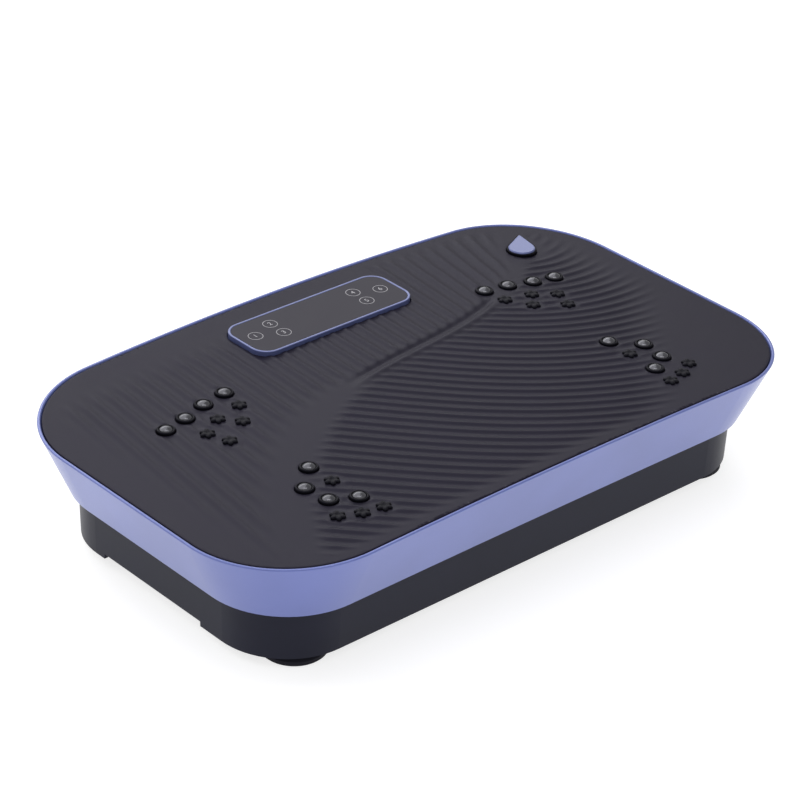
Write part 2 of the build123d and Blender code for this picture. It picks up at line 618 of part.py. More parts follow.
def wall_opening(centre, size):
    """Cut through the tray's rear wall for a snap-in fitting."""
    x = (centre - size[0] / 2 - SLIP, centre + size[0] / 2 + SLIP)
    z = (INLET_LEVEL - size[1] / 2 - SLIP, INLET_LEVEL + size[1] / 2 + SLIP)
    return block(x, (BASE_WIDTH / 2 - 10, BASE_WIDTH / 2 + 10), z)


def base_tray():
    tray = drafted(0, TRAY_BOTTOM, TRAY_TOP) - drafted(TRAY_WALL, FLOOR_TOP, TRAY_TOP + 1)
    tray -= drafted(TRAY_WALL, TRAY_BOTTOM - 1, FLOOR_UNDERSIDE)
    for x, y in FEET.values():
        tray += z_rod(FOOT_BOSS_RADIUS, x, y, (FLOOR_TOP, FLOOR_TOP + FOOT_BOSS_HEIGHT))
        tray -= z_rod(BOLT_RADIUS + SLIP, x, y, (TRAY_BOTTOM, FLOOR_TOP + FOOT_BOSS_HEIGHT + 1))
    for x, y in base_plate_screw_points():
        tray -= z_rod(BOLT_RADIUS + SLIP, x, y, (TRAY_BOTTOM, FLOOR_TOP + 1))
    for sign in (-1, 1):
        x = sorted((sign * (BASE_LENGTH / 2 - TRAY_WALL - 2), sign * FAR))
        tray -= block(x, (NOTCH_FRONT, NOTCH_REAR), (TRAY_BOTTOM - 1, TRAY_BOTTOM + NOTCH_DEPTH))
    return tray - wall_opening(INLET_X, INLET_BODY) - wall_opening(SWITCH_X, SWITCH_BODY)


def bracket_bolt_points():
    """Bolts of the two pivot brackets, as (x, y)."""
    x, y = BRACKET_BOLT
    rows = [side * PIVOT_SIDE + sy * y for side in (-1, 1) for sy in (-1, 1)]
    return [(sx * x, row) for row in rows for sx in (-1, 1)]


def block_bolt_points():
    """Bolts of the two bearing blocks, as (x, y)."""
    return [(side * BLOCK_OFFSET, sy * BLOCK_BOLT) for side in (-1, 1) for sy in (-1, 1)]


def motor_bolt_points():
    """Bolts of the motor bracket's foot, as (x, y)."""
    near = MOTOR_FACE - MOTOR_FOOT_LENGTH + MOTOR_BOLT_INSET[0]
    far = MOTOR_FACE - MOTOR_BOLT_INSET[0]
    across = MOTOR_RADIUS - MOTOR_BOLT_INSET[1]
    return [(x, MOTOR_SIDE + sy * across) for x in (near, far) for sy in (-1, 1)]


def base_plate():
    size = (BASE_LENGTH - 2 * BASE_PLATE_MARGIN[0], BASE_WIDTH - 2 * BASE_PLATE_MARGIN[1])
    plate = slab(*size, PLATE_CORNER, (FLOOR_TOP, PLATE_TOP))
    points = base_plate_screw_points() + bracket_bolt_points() + block_bolt_points() + motor_bolt_points()
    for x, y in points:
        plate -= z_rod(BOLT_RADIUS + SLIP, x, y, (FLOOR_TOP - 1, PLATE_TOP + 1))
    slot = (BELT_WIDTH + 2 * PULLEY_ROOM, 2 * (CRANK_PULLEY_RADIUS + PULLEY_FLANGE + PULLEY_ROOM))
    return plate - centred_block(BELT_PLANE, 0, *slot, (FLOOR_TOP - 1, PLATE_TOP + 1))


def foot():
    """Suction foot about its own axis, from the floor to the tray."""
    shown = TRAY_BOTTOM
    outline = Polyline(
        (BOLT_RADIUS + SLIP, FLOOR_UNDERSIDE),
        (FOOT_TOP_RADIUS, FLOOR_UNDERSIDE),
        (FOOT_TOP_RADIUS, shown - 1),
        (FOOT_WAIST_RADIUS, shown / 2),
        (FOOT_SOLE_RADIUS + FOOT_SOLE_BEVEL, FOOT_SOLE_BEVEL),
        (FOOT_SOLE_RADIUS, 0),
        (FOOT_CUP_RADIUS, 0),
        (FOOT_HEAD_POCKET, FOOT_CUP_DEPTH),
        (FOOT_HEAD_POCKET, FOOT_CUP_DEPTH + BOLT_HEAD),
        (BOLT_RADIUS + SLIP, FOOT_CUP_DEPTH + BOLT_HEAD),
        close=True,
    )
    return revolve(Plane.XZ * make_face(outline), Axis.Z)


def foot_screws():
    levels = (FOOT_CUP_DEPTH + BOLT_HEAD, FLOOR_TOP + FOOT_BOSS_HEIGHT)
    head = (FOOT_SCREW_HEAD_RADIUS, BOLT_HEAD)
    return group([bolt_up(x, y, *levels, BOLT_RADIUS, head) for x, y in FEET.values()])


def pivot_bracket(side):
    """Folded steel bracket with two cheeks that hold the pivot pin."""
    centre = side * PIVOT_SIDE
    bracket = centred_block(0, centre, *BRACKET_FOOT, (PLATE_TOP, PLATE_TOP + BRACKET_SHEET))
    inner, outer = BRACKET_GAP / 2, BRACKET_GAP / 2 + BRACKET_SHEET
    for sign in (-1, 1):
        y = sorted((centre + sign * inner, centre + sign * outer))
        bracket += block((-BRACKET_END_RADIUS, BRACKET_END_RADIUS), y, (PLATE_TOP, PIVOT_LEVEL))
        bracket += y_rod(BRACKET_END_RADIUS, 0, y, PIVOT_LEVEL)
    for x, y in bracket_bolt_points():
        bracket -= z_rod(BOLT_RADIUS + SLIP, x, y, (PLATE_TOP - 1, PLATE_TOP + BRACKET_SHEET + 1))
    return bracket - y_rod(PIVOT_PIN_RADIUS + RUNNING_FIT, 0, (centre - FAR, centre + FAR), PIVOT_LEVEL)


def pivot_pins():
    pins = []
    outer = BRACKET_GAP / 2 + BRACKET_SHEET
    for side in (-1, 1):
        head_face = side * (PIVOT_SIDE + outer)
        tail = side * (PIVOT_SIDE - outer - 2.5 * CLIP_THICKNESS)
        pin = y_rod(PIVOT_PIN_RADIUS, 0, sorted((head_face, tail)), PIVOT_LEVEL)
        head = sorted((head_face, head_face + side * PIN_HEAD))
        pins.append(pin + y_rod(PIVOT_PIN_RADIUS + PIN_COLLAR, 0, head, PIVOT_LEVEL))
    return group(pins)


def pivot_clips():
    clips = []
    outer = BRACKET_GAP / 2 + BRACKET_SHEET
    for side in (-1, 1):
        near = PIVOT_SIDE - outer - 2 * SLIP
        y = sorted((side * near, side * (near - CLIP_THICKNESS)))
        clip = y_rod(PIVOT_PIN_RADIUS + PIN_COLLAR, 0, y, PIVOT_LEVEL)
        clips.append(clip - y_rod(PIVOT_PIN_RADIUS + RUNNING_FIT, 0, (-FAR, FAR), PIVOT_LEVEL))
    return group(clips)


def bearing_block(side):
    """Cast block that holds one main bearing of the crankshaft."""
    x = (side * BLOCK_OFFSET - BLOCK_WIDTH / 2, side * BLOCK_OFFSET + BLOCK_WIDTH / 2)
    half = MAIN_BEARING_RADIUS + BLOCK_WALL
    casting = block(x, (-BLOCK_FOOT / 2, BLOCK_FOOT / 2), (PLATE_TOP, PLATE_TOP + BLOCK_FOOT_HEIGHT))
    casting += block(x, (-half, half), (PLATE_TOP, CRANK_LEVEL))
    casting += x_rod(half, x, 0, CRANK_LEVEL)
    casting &= block(x, (-BLOCK_FOOT, BLOCK_FOOT), (PLATE_TOP, DECK_PLATE_LEVEL))
    casting -= x_rod(MAIN_BEARING_RADIUS + SLIP, (x[0] - 1, x[1] + 1), 0, CRANK_LEVEL)
    for bolt_x, bolt_y in block_bolt_points():
        level = (PLATE_TOP - 1, PLATE_TOP + BLOCK_FOOT_HEIGHT + 1)
        casting -= z_rod(BOLT_RADIUS + SLIP, bolt_x, bolt_y, level)
    return casting


def main_bearings():
    bearings = []
    for side in (-1, 1):
        centre = side * BLOCK_OFFSET
        x = (centre - MAIN_BEARING_WIDTH / 2, centre + MAIN_BEARING_WIDTH / 2)
        ring = x_rod(MAIN_BEARING_RADIUS, x, 0, CRANK_LEVEL)
        bearings.append(ring - x_rod(JOURNAL_RADIUS + RUNNING_FIT, (x[0] - 1, x[1] + 1), 0, CRANK_LEVEL))
    return group(bearings)


def frame_bolts():
    """Bolts of the pivot brackets, bearing blocks and motor bracket."""
    bolts = [bolt_down(x, y, PLATE_TOP + BRACKET_SHEET, FLOOR_TOP) for x, y in bracket_bolt_points()]
    bolts += [bolt_down(x, y, PLATE_TOP + BLOCK_FOOT_HEIGHT, FLOOR_TOP) for x, y in block_bolt_points()]
    bolts += [bolt_down(x, y, PLATE_TOP + MOTOR_SHEET, FLOOR_TOP) for x, y in motor_bolt_points()]
    return group(bolts)


# ---- Drive ----
def eccentric_centre(side):
    """Y of one eccentric at rest: the two point opposite ways, so the deck is level."""
    return -side * CRANK_THROW


def crankshaft():
    shaft = x_rod(JOURNAL_RADIUS, (-BLOCK_OFFSET - SHAFT_END, SHAFT_TIP), 0, CRANK_LEVEL)
    for side in (-1, 1):
        x = (side * ROD_OFFSET - ROD_BEARING_WIDTH / 2, side * ROD_OFFSET + ROD_BEARING_WIDTH / 2)
        shaft += x_rod(ECCENTRIC_RADIUS, x, eccentric_centre(side), CRANK_LEVEL)
        for sign in (-1, 1):
            start = side * (BLOCK_OFFSET + sign * (BLOCK_WIDTH / 2 + SEAT_GAP))
            collar = sorted((start, start + side * sign * COLLAR_WIDTH))
            shaft += x_rod(JOURNAL_RADIUS + PIN_COLLAR, collar, 0, CRANK_LEVEL)
    return shaft


def rod_bearings():
    bearings = []
    for side in (-1, 1):
        x = (side * ROD_OFFSET - ROD_BEARING_WIDTH / 2, side * ROD_OFFSET + ROD_BEARING_WIDTH / 2)
        y = eccentric_centre(side)
        ring = x_rod(ROD_BEARING_RADIUS, x, y, CRANK_LEVEL)
        bearings.append(ring - x_rod(ECCENTRIC_RADIUS, (x[0] - 1, x[1] + 1), y, CRANK_LEVEL))
    return group(bearings)


def connecting_rod(side):
    """Short rod: a ring on the eccentric's bearing and a wide eye around the deck's pin."""
    x = (side * ROD_OFFSET - ROD_WIDTH / 2, side * ROD_OFFSET + ROD_WIDTH / 2)
    y = eccentric_centre(side)
    cut = (x[0] - 1, x[1] + 1)
    eye = ROD_EYE_RADIUS + ROD_EYE_WALL
    rod = x_rod(ROD_BEARING_RADIUS + ROD_BIG_WALL, x, y, CRANK_LEVEL)
    rod += block(x, (y - eye, y + eye), (CRANK_LEVEL, ROD_PIN_LEVEL))
    rod += x_rod(eye, x, y, ROD_PIN_LEVEL)
    rod -= x_rod(ROD_BEARING_RADIUS + RUNNING_FIT, cut, y, CRANK_LEVEL)
    return rod - x_rod(ROD_EYE_RADIUS, cut, y, ROD_PIN_LEVEL)


def flanged_pulley(radius, bore, y, z):
    half = BELT_WIDTH / 2 + SLIP
    pulley = x_rod(radius, (BELT_PLANE - half, BELT_PLANE + half), y, z)
    for sign in (-1, 1):
        x = sorted((BELT_PLANE + sign * half, BELT_PLANE + sign * (half + PULLEY_FLANGE_WIDTH)))
        pulley += x_rod(radius + PULLEY_FLANGE, x, y, z)
    return pulley - x_rod(bore, PULLEY_CUT, y, z)


def crank_pulley():
    pulley = flanged_pulley(CRANK_PULLEY_RADIUS, JOURNAL_RADIUS, 0, CRANK_LEVEL)
    middle = (CRANK_PULLEY_RADIUS + JOURNAL_RADIUS) / 2
    for index in range(PULLEY_HOLES):
        turn = 2 * radians(180) * index / PULLEY_HOLES
        y, z = middle * cos(turn), CRANK_LEVEL + middle * sin(turn)
        pulley -= x_rod(PULLEY_HOLE_RADIUS, PULLEY_CUT, y, z)
    return pulley


def motor_pulley():
    return flanged_pulley(MOTOR_PULLEY_RADIUS, MOTOR_SHAFT_RADIUS, MOTOR_SIDE, MOTOR_LEVEL)


def belt_hull(extra):
    """Outline stretched round both pulleys, extra outside their running faces."""
    start = BELT_PLANE - BELT_WIDTH / 2
    big = Pos(0, CRANK_LEVEL) * Circle(CRANK_PULLEY_RADIUS + extra)
    small = Pos(MOTOR_SIDE, MOTOR_LEVEL) * Circle(MOTOR_PULLEY_RADIUS + extra)
    return extrude(Plane.YZ.offset(start) * make_hull(big.edges() + small.edges()), amount=BELT_WIDTH)


def drive_belt():
    return belt_hull(BELT_CLEARANCE + BELT_THICKNESS) - belt_hull(BELT_CLEARANCE)


def motor_rod(radius, x):
    """Round bar about the motor's axis."""
    return x_rod(radius, x, MOTOR_SIDE, MOTOR_LEVEL)


def motor_can():
    """Steel can, closed at the pulley end, with an open back."""
    inside = (MOTOR_BACK - 1, MOTOR_FACE - MOTOR_WALL)
    can = motor_rod(MOTOR_RADIUS, (MOTOR_BACK, MOTOR_FACE)) - motor_rod(MOTOR_RADIUS - MOTOR_WALL, inside)
    return can - motor_rod(MOTOR_SHAFT_RADIUS + RUNNING_FIT, (MOTOR_BACK, MOTOR_FACE + 1))


def motor_end_cap():
    cap = motor_rod(MOTOR_RADIUS - 1, (MOTOR_BACK - MOTOR_CAP, MOTOR_BACK))
    return cap - motor_rod(MOTOR_SHAFT_RADIUS + RUNNING_FIT, (MOTOR_BACK - MOTOR_CAP / 2, FAR))


def motor_bracket():
    """Folded sheet: an upright against the motor's face and a foot under the can."""
    y = (MOTOR_SIDE - MOTOR_RADIUS, MOTOR_SIDE + MOTOR_RADIUS)
    bracket = block((MOTOR_FACE, MOTOR_FACE + MOTOR_SHEET), y, (PLATE_TOP, MOTOR_LEVEL))
    bracket += motor_rod(MOTOR_RADIUS, (MOTOR_FACE, MOTOR_FACE + MOTOR_SHEET))
    bracket += block((MOTOR_FACE - MOTOR_FOOT_LENGTH, MOTOR_FACE), y, (PLATE_TOP, PLATE_TOP + MOTOR_SHEET))
    through = (PLATE_TOP - 1, PLATE_TOP + MOTOR_SHEET + 1)
    for bolt_x, bolt_y in motor_bolt_points():
        bracket -= z_rod(BOLT_RADIUS + SLIP, bolt_x, bolt_y, through)
    return bracket - motor_rod(2 * MOTOR_SHAFT_RADIUS, (MOTOR_FACE - 1, MOTOR_FACE + MOTOR_SHEET + 1))


def motor_shaft():
    return motor_rod(MOTOR_SHAFT_RADIUS, (MOTOR_BACK - MOTOR_CAP / 2 + 1, SHAFT_TIP))


def motor_armature():
    """Laminated core with shallow slots, pressed on the motor's shaft."""
    middle = (MOTOR_BACK + MOTOR_FACE - MOTOR_WALL) / 2
    x = (middle - ARMATURE_LENGTH / 2, middle + ARMATURE_LENGTH / 2)
    core = motor_rod(ARMATURE_RADIUS, x)
    slot = Pos(0, 0, ARMATURE_RADIUS) * Box(ARMATURE_LENGTH + 2, ARMATURE_SLOT[0], 2 * ARMATURE_SLOT[1])
    for index in range(ARMATURE_SLOTS):
        core -= Pos(middle, MOTOR_SIDE, MOTOR_LEVEL) * Rot(360 * index / ARMATURE_SLOTS, 0, 0) * slot
    return core - motor_rod(MOTOR_SHAFT_RADIUS, (x[0] - 1, x[1] + 1))


# ---- Mains fittings ----
def fitting_body(centre, body, flange, depth):
    """Snap-in body through the tray's rear wall, with a flange on the outside."""
    face = rear_wall_face(INLET_LEVEL + flange[1] / 2) + RUNNING_FIT
    z = (INLET_LEVEL - flange[1] / 2, INLET_LEVEL + flange[1] / 2)
    plate = centred_block(centre, face + FLANGE_THICKNESS / 2, flange[0], FLANGE_THICKNESS, z)
    plate = fillet(plate.edges().filter_by(Axis.Y), FLANGE_CORNER)
    z = (INLET_LEVEL - body[1] / 2, INLET_LEVEL + body[1] / 2)
    return plate + centred_block(centre, face - depth / 2, body[0], depth, z)


INLET_FACE = rear_wall_face(INLET_LEVEL + INLET_FLANGE[1] / 2) + RUNNING_FIT + FLANGE_THICKNESS
SWITCH_FACE = rear_wall_face(INLET_LEVEL + SWITCH_FLANGE[1] / 2) + RUNNING_FIT + FLANGE_THICKNESS
ROCKER_PIVOT = SWITCH_FACE - 3.0


def power_inlet():
    """Three-pole appliance inlet with an open socket."""
    inlet = fitting_body(INLET_X, INLET_BODY, INLET_FLANGE, INLET_DEPTH)
    half = (SOCKET_OPENING[0] / 2, SOCKET_OPENING[1] / 2)
    x = (INLET_X - half[0], INLET_X + half[0])
    z = (INLET_LEVEL - half[1], INLET_LEVEL + half[1])
    return inlet - block(x, (INLET_FACE - SOCKET_DEPTH, INLET_FACE + 1), z)


def inlet_pins():
    pins = []
    for offset, lift in SOCKET_PINS:
        x = (INLET_X + offset - SOCKET_PIN[0] / 2, INLET_X + offset + SOCKET_PIN[0] / 2)
        z = (INLET_LEVEL + lift - SOCKET_PIN[1] / 2, INLET_LEVEL + lift + SOCKET_PIN[1] / 2)
        foot_y = INLET_FACE - SOCKET_DEPTH
        pins.append(block(x, (foot_y, foot_y + SOCKET_PIN_LENGTH), z))
    return group(pins)


def switch_housing():
    housing = fitting_body(SWITCH_X, SWITCH_BODY, SWITCH_FLANGE, SWITCH_DEPTH)
    half = (ROCKER_SIZE[0] / 2 + ROCKER_GAP, ROCKER_SIZE[1] / 2 + SEAT_GAP)
    x = (SWITCH_X - half[0], SWITCH_X + half[0])
    z = (INLET_LEVEL - half[1], INLET_LEVEL + half[1])
    housing -= block(x, (SWITCH_FACE - ROCKER_WELL, SWITCH_FACE + 1), z)
    reach = ROCKER_PIN[1] + 2 * SLIP
    bore = (z[0] - reach, z[1] + reach)
    return housing - z_rod(ROCKER_PIN[0] + RUNNING_FIT, SWITCH_X, ROCKER_PIVOT, bore)


def switch_rocker():
    """Rocker with a hollow face, stored in its off position."""
    half = ROCKER_SIZE[0] / 2
    back = half - 0.6
    face = [(-half, ROCKER_FACE[1]), (0, ROCKER_FACE[0]), (half, ROCKER_FACE[1])]
    rear = [(back, -ROCKER_BACK[1]), (0, -ROCKER_BACK[0]), (-back, -ROCKER_BACK[1])]
    outline = make_face(Polyline(*face, *rear, close=True))
    low, high = INLET_LEVEL - ROCKER_SIZE[1] / 2, INLET_LEVEL + ROCKER_SIZE[1] / 2
    rocker = extrude(Pos(0, 0, low) * outline, amount=high - low)
    rocker += z_rod(ROCKER_PIN[0], 0, 0, (low - ROCKER_PIN[1], high + ROCKER_PIN[1]))
    return Pos(SWITCH_X, ROCKER_PIVOT, 0) * Rot(0, 0, -ROCKER_TILT) * rocker


# ---- Electronics and leads ----
BOARD_LEVEL = PLATE_TOP + STANDOFF_HEIGHT
COMPONENT_LEVEL = BOARD_LEVEL + BOARD_THICKNESS
PANEL_PLUG = (-32.0, PANEL_CENTRE - 1.4)
PLUG_GAP = 0.9  # the plug stays clear while the deck rocks over it
PLUG_LEVEL = DECK_PLATE_TOP + 9.0
PLUG_SIZE = (12.0, 8.0)
PLUG_HEIGHT = 6.0
CABLE_HOLE = 9.0
LEAD_LIFT = 4.5  # terminal screws above the board
LEAD_ENTRY = 10.0  # motor leads' end, behind the motor's axis


def on_board(place):
    """Place on the power board, from its centre."""
    return POWER_BOARD_CENTRE[0] + place[0], POWER_BOARD_CENTRE[1] + place[1]


def power_board():
    return centred_block(*POWER_BOARD_CENTRE, *POWER_BOARD, (BOARD_LEVEL, COMPONENT_LEVEL))


def board_standoffs():
    x, y = POWER_BOARD[0] / 2 - STANDOFF_INSET, POWER_BOARD[1] / 2 - STANDOFF_INSET
    level = (PLATE_TOP, BOARD_LEVEL)
    places = [on_board((sx * x, sy * y)) for sx in (-1, 1) for sy in (-1, 1)]
    return group([z_rod(STANDOFF_RADIUS, px, py, level) for px, py in places])


def heat_sink():
    x, y = on_board(HEAT_SINK_PLACE)
    length, width, height = HEAT_SINK
    sink = centred_block(x, y, length, width, (COMPONENT_LEVEL, COMPONENT_LEVEL + height))
    slots = (COMPONENT_LEVEL + HEAT_SINK_BASE, COMPONENT_LEVEL + height + 1)
    for step in (-1.5, -0.5, 0.5, 1.5):
        sink -= centred_block(x + step * HEAT_SINK_PITCH, y, HEAT_SINK_SLOT, width + 2, slots)
    return sink


def board_components():
    parts = []
    for *place, radius, height in CAPACITORS:
        parts.append(z_rod(radius, *on_board(place), (COMPONENT_LEVEL, COMPONENT_LEVEL + height)))
    for *place, length, width, height in (*MODULES, MOTOR_TERMINAL, MAINS_TERMINAL, PANEL_HEADER):
        level = (COMPONENT_LEVEL, COMPONENT_LEVEL + height)
        parts.append(centred_block(*on_board(place), length, width, level))
    return group(parts)


def lead(points, radii, radius):
    """Round lead along straight runs joined by arcs."""
    path = FilletPolyline(*points, radius=list(radii))
    section = Plane(origin=path @ 0, z_dir=path % 0) * Circle(radius)
    return sweep(section, path=path)


def panel_cable():
    """Lead from the power board to the plug under the touch board."""
    start = COMPONENT_LEVEL + PANEL_HEADER[4]
    x, y = on_board(PANEL_HEADER)
    side = PANEL_PLUG[1]
    plug_end = PLUG_LEVEL - PLUG_GAP - PLUG_HEIGHT
    run = start + 24
    points = [(x, y, start), (x, y, run - 4), (x + 22, side - 34, run), (x + 62, side, run)]
    points += [(*PANEL_PLUG, run + 16), (*PANEL_PLUG, plug_end)]
    cable = lead(points, CABLE_BEND, CABLE_RADIUS)
    return cable + centred_block(*PANEL_PLUG, *PLUG_SIZE, (plug_end, PLUG_LEVEL - PLUG_GAP))


def power_leads():
    """Motor leads and mains leads to the power board's terminal blocks."""
    z = COMPONENT_LEVEL + LEAD_LIFT
    leads = []
    x, y = on_board(MOTOR_TERMINAL)
    x += MOTOR_TERMINAL[2] / 2
    for offset in (-4.0, 3.0):
        end = (MOTOR_BACK - MOTOR_CAP, MOTOR_SIDE + LEAD_ENTRY + offset, MOTOR_LEVEL - 6)
        points = [(x, y + offset, z), (x + 30, y + offset, z), (end[0] - 30, end[1], end[2]), end]
        leads.append(lead(points, WIRE_BEND, WIRE_RADIUS))
    x, y = on_board(MAINS_TERMINAL)
    y += MAINS_TERMINAL[3] / 2
    back = INLET_FACE - FLANGE_THICKNESS - INLET_DEPTH
    for offset in (-6.0, 0.0):
        end = (INLET_X + offset, back, INLET_LEVEL)
        points = [(x + offset, y, z), (x + offset, y + 22, z), (end[0], back - 22, end[2]), end]
        leads.append(lead(points, WIRE_BEND, WIRE_RADIUS))
    return group(leads)


def screws_up(points, head_level, tip_level):
    """Small screws driven from below; the two levels are functions of x."""
    head = (SCREW_HEAD_RADIUS, SCREW_HEAD)
    return group([bolt_up(x, y, head_level(x), tip_level(x), SCREW_RADIUS, head) for x, y in points])


def cover_screws():
    def tip(x):
        return arch_level(x, LEDGE_BELOW_RIM + 1)

    return screws_up(cover_boss_points(), lambda x: DECK_PLATE_LEVEL, tip)


def skirt_screws():
    def head(x):
        return arch_level(x, LEDGE_BELOW_RIM + LEDGE_THICKNESS) - 0.5

    def tip(x):
        return arch_level(x, COVER_BELOW_RIM + 1)

    return screws_up(ledge_screw_points(), head, tip)


def base_plate_screws():
    return group([bolt_up(x, y, FLOOR_UNDERSIDE, PLATE_TOP) for x, y in base_plate_screw_points()])


PARTS = {
    "base_tray": base_tray,
    "base_plate": base_plate,
    "foot_screws": foot_screws,
    "base_plate_screws": base_plate_screws,
    "front_pivot_bracket": lambda: pivot_bracket(-1),
    "rear_pivot_bracket": lambda: pivot_bracket(1),
    "pivot_pins": pivot_pins,
    "pivot_clips": pivot_clips,
    "left_bearing_block": lambda: bearing_block(-1),
    "right_bearing_block": lambda: bearing_block(1),
    "main_bearings": main_bearings,
    "frame_bolts": frame_bolts,
    "motor_can": motor_can,
    "motor_end_cap": motor_end_cap,
    "motor_bracket": motor_bracket,
    "motor_shaft": motor_shaft,
    "motor_armature": motor_armature,
    "motor_pulley": motor_pulley,
    "drive_belt": drive_belt,
    "crankshaft": crankshaft,
    "crank_pulley": crank_pulley,
    "rod_bearings": rod_bearings,
    "left_rod": lambda: connecting_rod(-1),
    "right_rod": lambda: connecting_rod(1),
    "power_board": power_board,
    "board_standoffs": board_standoffs,
    "heat_sink": heat_sink,
    "board_components": board_components,
    "power_inlet": power_inlet,
    "inlet_pins": inlet_pins,
    "switch_housing": switch_housing,
    "switch_rocker": switch_rocker,
    "panel_cable": panel_cable,
    "power_leads": power_leads,
    "deck_plate": deck_plate,
    "front_pivot_ear": lambda: pivot_ear(-1),
    "rear_pivot_ear": lambda: pivot_ear(1),
    "pivot_bushes": pivot_bushes,
    "left_rod_clevis": lambda: rod_clevis(-1),
    "right_rod_clevis": lambda: rod_clevis(1),
    "rod_pins": rod_pins,
    "deck_skirt": deck_skirt,
    "deck_cover": deck_cover,
    "cover_screws": cover_screws,
    "skirt_screws": skirt_screws,
    "top_mat": top_mat,
    "panel_bezel": panel_bezel,
    "panel_glass": panel_glass,
    "touch_board": touch_board,
    "display_module": display_module,
    "key_pads": key_pads,
    "corner_cap": corner_cap,
    "massage_domes": massage_domes,
    "dome_collars": dome_collars,
    "grip_studs": grip_studs,
}

for part_name, make in PARTS.items():
    save(part_name, make())
for foot_name, (foot_x, foot_y) in FEET.items():
    save(f"foot_{foot_name}", Pos(foot_x, foot_y, 0) * foot())
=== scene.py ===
"""Vibration plate: fine pieces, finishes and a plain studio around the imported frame.

Lengths are in metres. X runs along the plate, Y towards the control panel's edge, Z up from the floor.
"""

from math import cos, pi, radians, sin

import bmesh
import bpy
import numpy as np
from bpy.props import FloatProperty, FloatVectorProperty, IntProperty, PointerProperty
from mathutils import Matrix, Vector
from mathutils.geometry import delaunay_2d_cdt
from mathutils.kdtree import KDTree


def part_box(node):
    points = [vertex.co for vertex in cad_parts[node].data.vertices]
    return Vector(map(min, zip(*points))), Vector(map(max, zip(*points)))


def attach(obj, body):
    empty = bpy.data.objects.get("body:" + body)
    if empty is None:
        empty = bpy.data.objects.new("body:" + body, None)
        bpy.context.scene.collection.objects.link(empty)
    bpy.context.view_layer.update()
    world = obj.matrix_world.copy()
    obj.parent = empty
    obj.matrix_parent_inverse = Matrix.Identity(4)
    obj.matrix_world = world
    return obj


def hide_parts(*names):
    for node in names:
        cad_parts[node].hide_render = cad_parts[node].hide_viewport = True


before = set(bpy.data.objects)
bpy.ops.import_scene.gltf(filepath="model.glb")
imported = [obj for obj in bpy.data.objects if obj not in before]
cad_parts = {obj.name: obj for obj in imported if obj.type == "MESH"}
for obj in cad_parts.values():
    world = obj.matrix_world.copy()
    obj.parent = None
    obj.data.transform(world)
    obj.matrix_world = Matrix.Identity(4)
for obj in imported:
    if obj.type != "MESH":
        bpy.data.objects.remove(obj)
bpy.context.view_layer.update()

bl_info = {
    "name": "Vibration Plate Finishes",
    "version": (1, 0, 0),
    "blender": (4, 5, 0),
    "location": "3D View > Sidebar > Plate",
    "description": "Builds the fine pieces, finishes and studio of a vibration plate",
    "category": "Object",
}

MM = 0.001


# ---- Settings ----
def length(name, text, default):
    """A size that a user can change."""
    return FloatProperty(name=name, description=text, default=default, unit="LENGTH", precision=5)


def angle(name, text, degrees):
    """An angle that a user can change."""
    return FloatProperty(name=name, description=text, default=radians(degrees), subtype="ANGLE")


def colour(name, text, default):
    """A colour that a user can change."""
    return FloatVectorProperty(
        name=name, description=text, default=default, size=3, subtype="COLOR", min=0.0, max=1.0
    )


class MatSizes(bpy.types.PropertyGroup):
    """Sizes of the ribbed mat."""

    grid: length("Grid", "Spacing of the mat's surface points", 1.45 * MM)
    edge_round: length("Edge round", "Radius of the mat's upper edges", 0.8 * MM)
    thickness: length("Thickness", "Thickness of the mat", 3.0 * MM)
    rib_height: length("Rib height", "Height of the ribs above their valleys", 1.2 * MM)
    rib_pitch: length("Rib pitch", "Distance between the ribs of the curved field", 9.8 * MM)
    comb_pitch: length("Comb pitch", "Distance between the ribs beside the panel", 11.5 * MM)
    fold_height: length("Fold height", "Height of the long fold between the two fields", 1.9 * MM)


class TrimSizes(bpy.types.PropertyGroup):
    """Sizes of the domes, collars, studs and key marks."""

    lobes: IntProperty(name="Lobes", description="Lobes of a grip stud", default=6, min=3, max=12)
    lobe_radius: length("Lobe radius", "Radius of a grip stud's lobes", 1.8 * MM)
    dimple: length("Dimple", "Depth of the dimple in a grip stud", 0.55 * MM)
    cap_bevel: length("Cap bevel", "Bevel along the corner cap's edge", 0.8 * MM)
    # The next two sizes shape a dark rim around the corner cap: painted shade standing in for the shade
    # on the cap's side wall.
    lip_width: length("Lip width", "Width of the lip around the corner cap", 1.25 * MM)
    lip_drop: length("Lip drop", "How far the lip stays under the cap's face", 0.95 * MM)
    key_radius: length("Key radius", "Radius of the rings around the touch keys", 5.7 * MM)
    key_line: length("Key line", "Width of the rings around the touch keys", 0.42 * MM)
    key_figure: length("Key figure", "Height of the numbers in the touch keys", 6.2 * MM)


class Colours(bpy.types.PropertyGroup):
    """Main colours of the plate."""

    mat: colour("Mat", "Rubber of the mat", (0.0115, 0.0098, 0.0185))
    stud: colour("Studs", "Rubber of the studs and collars", (0.0045, 0.0045, 0.0065))
    tray: colour("Tray", "Plastic of the base tray", (0.0072, 0.0079, 0.0162))
    skirt: colour("Skirt", "Pearl lacquer of the skirt", (0.136, 0.17, 0.44))
    trim: colour("Trim", "Lacquer of the panel's bezel and the corner cap", (0.125, 0.15, 0.34))
    glass: colour("Glass", "Smoked glass of the panel", (0.018, 0.016, 0.026))
    dome: colour("Domes", "Metal of the domes", (0.11, 0.11, 0.122))
    print: colour("Print", "Rings and numbers of the touch keys", (0.42, 0.41, 0.44))


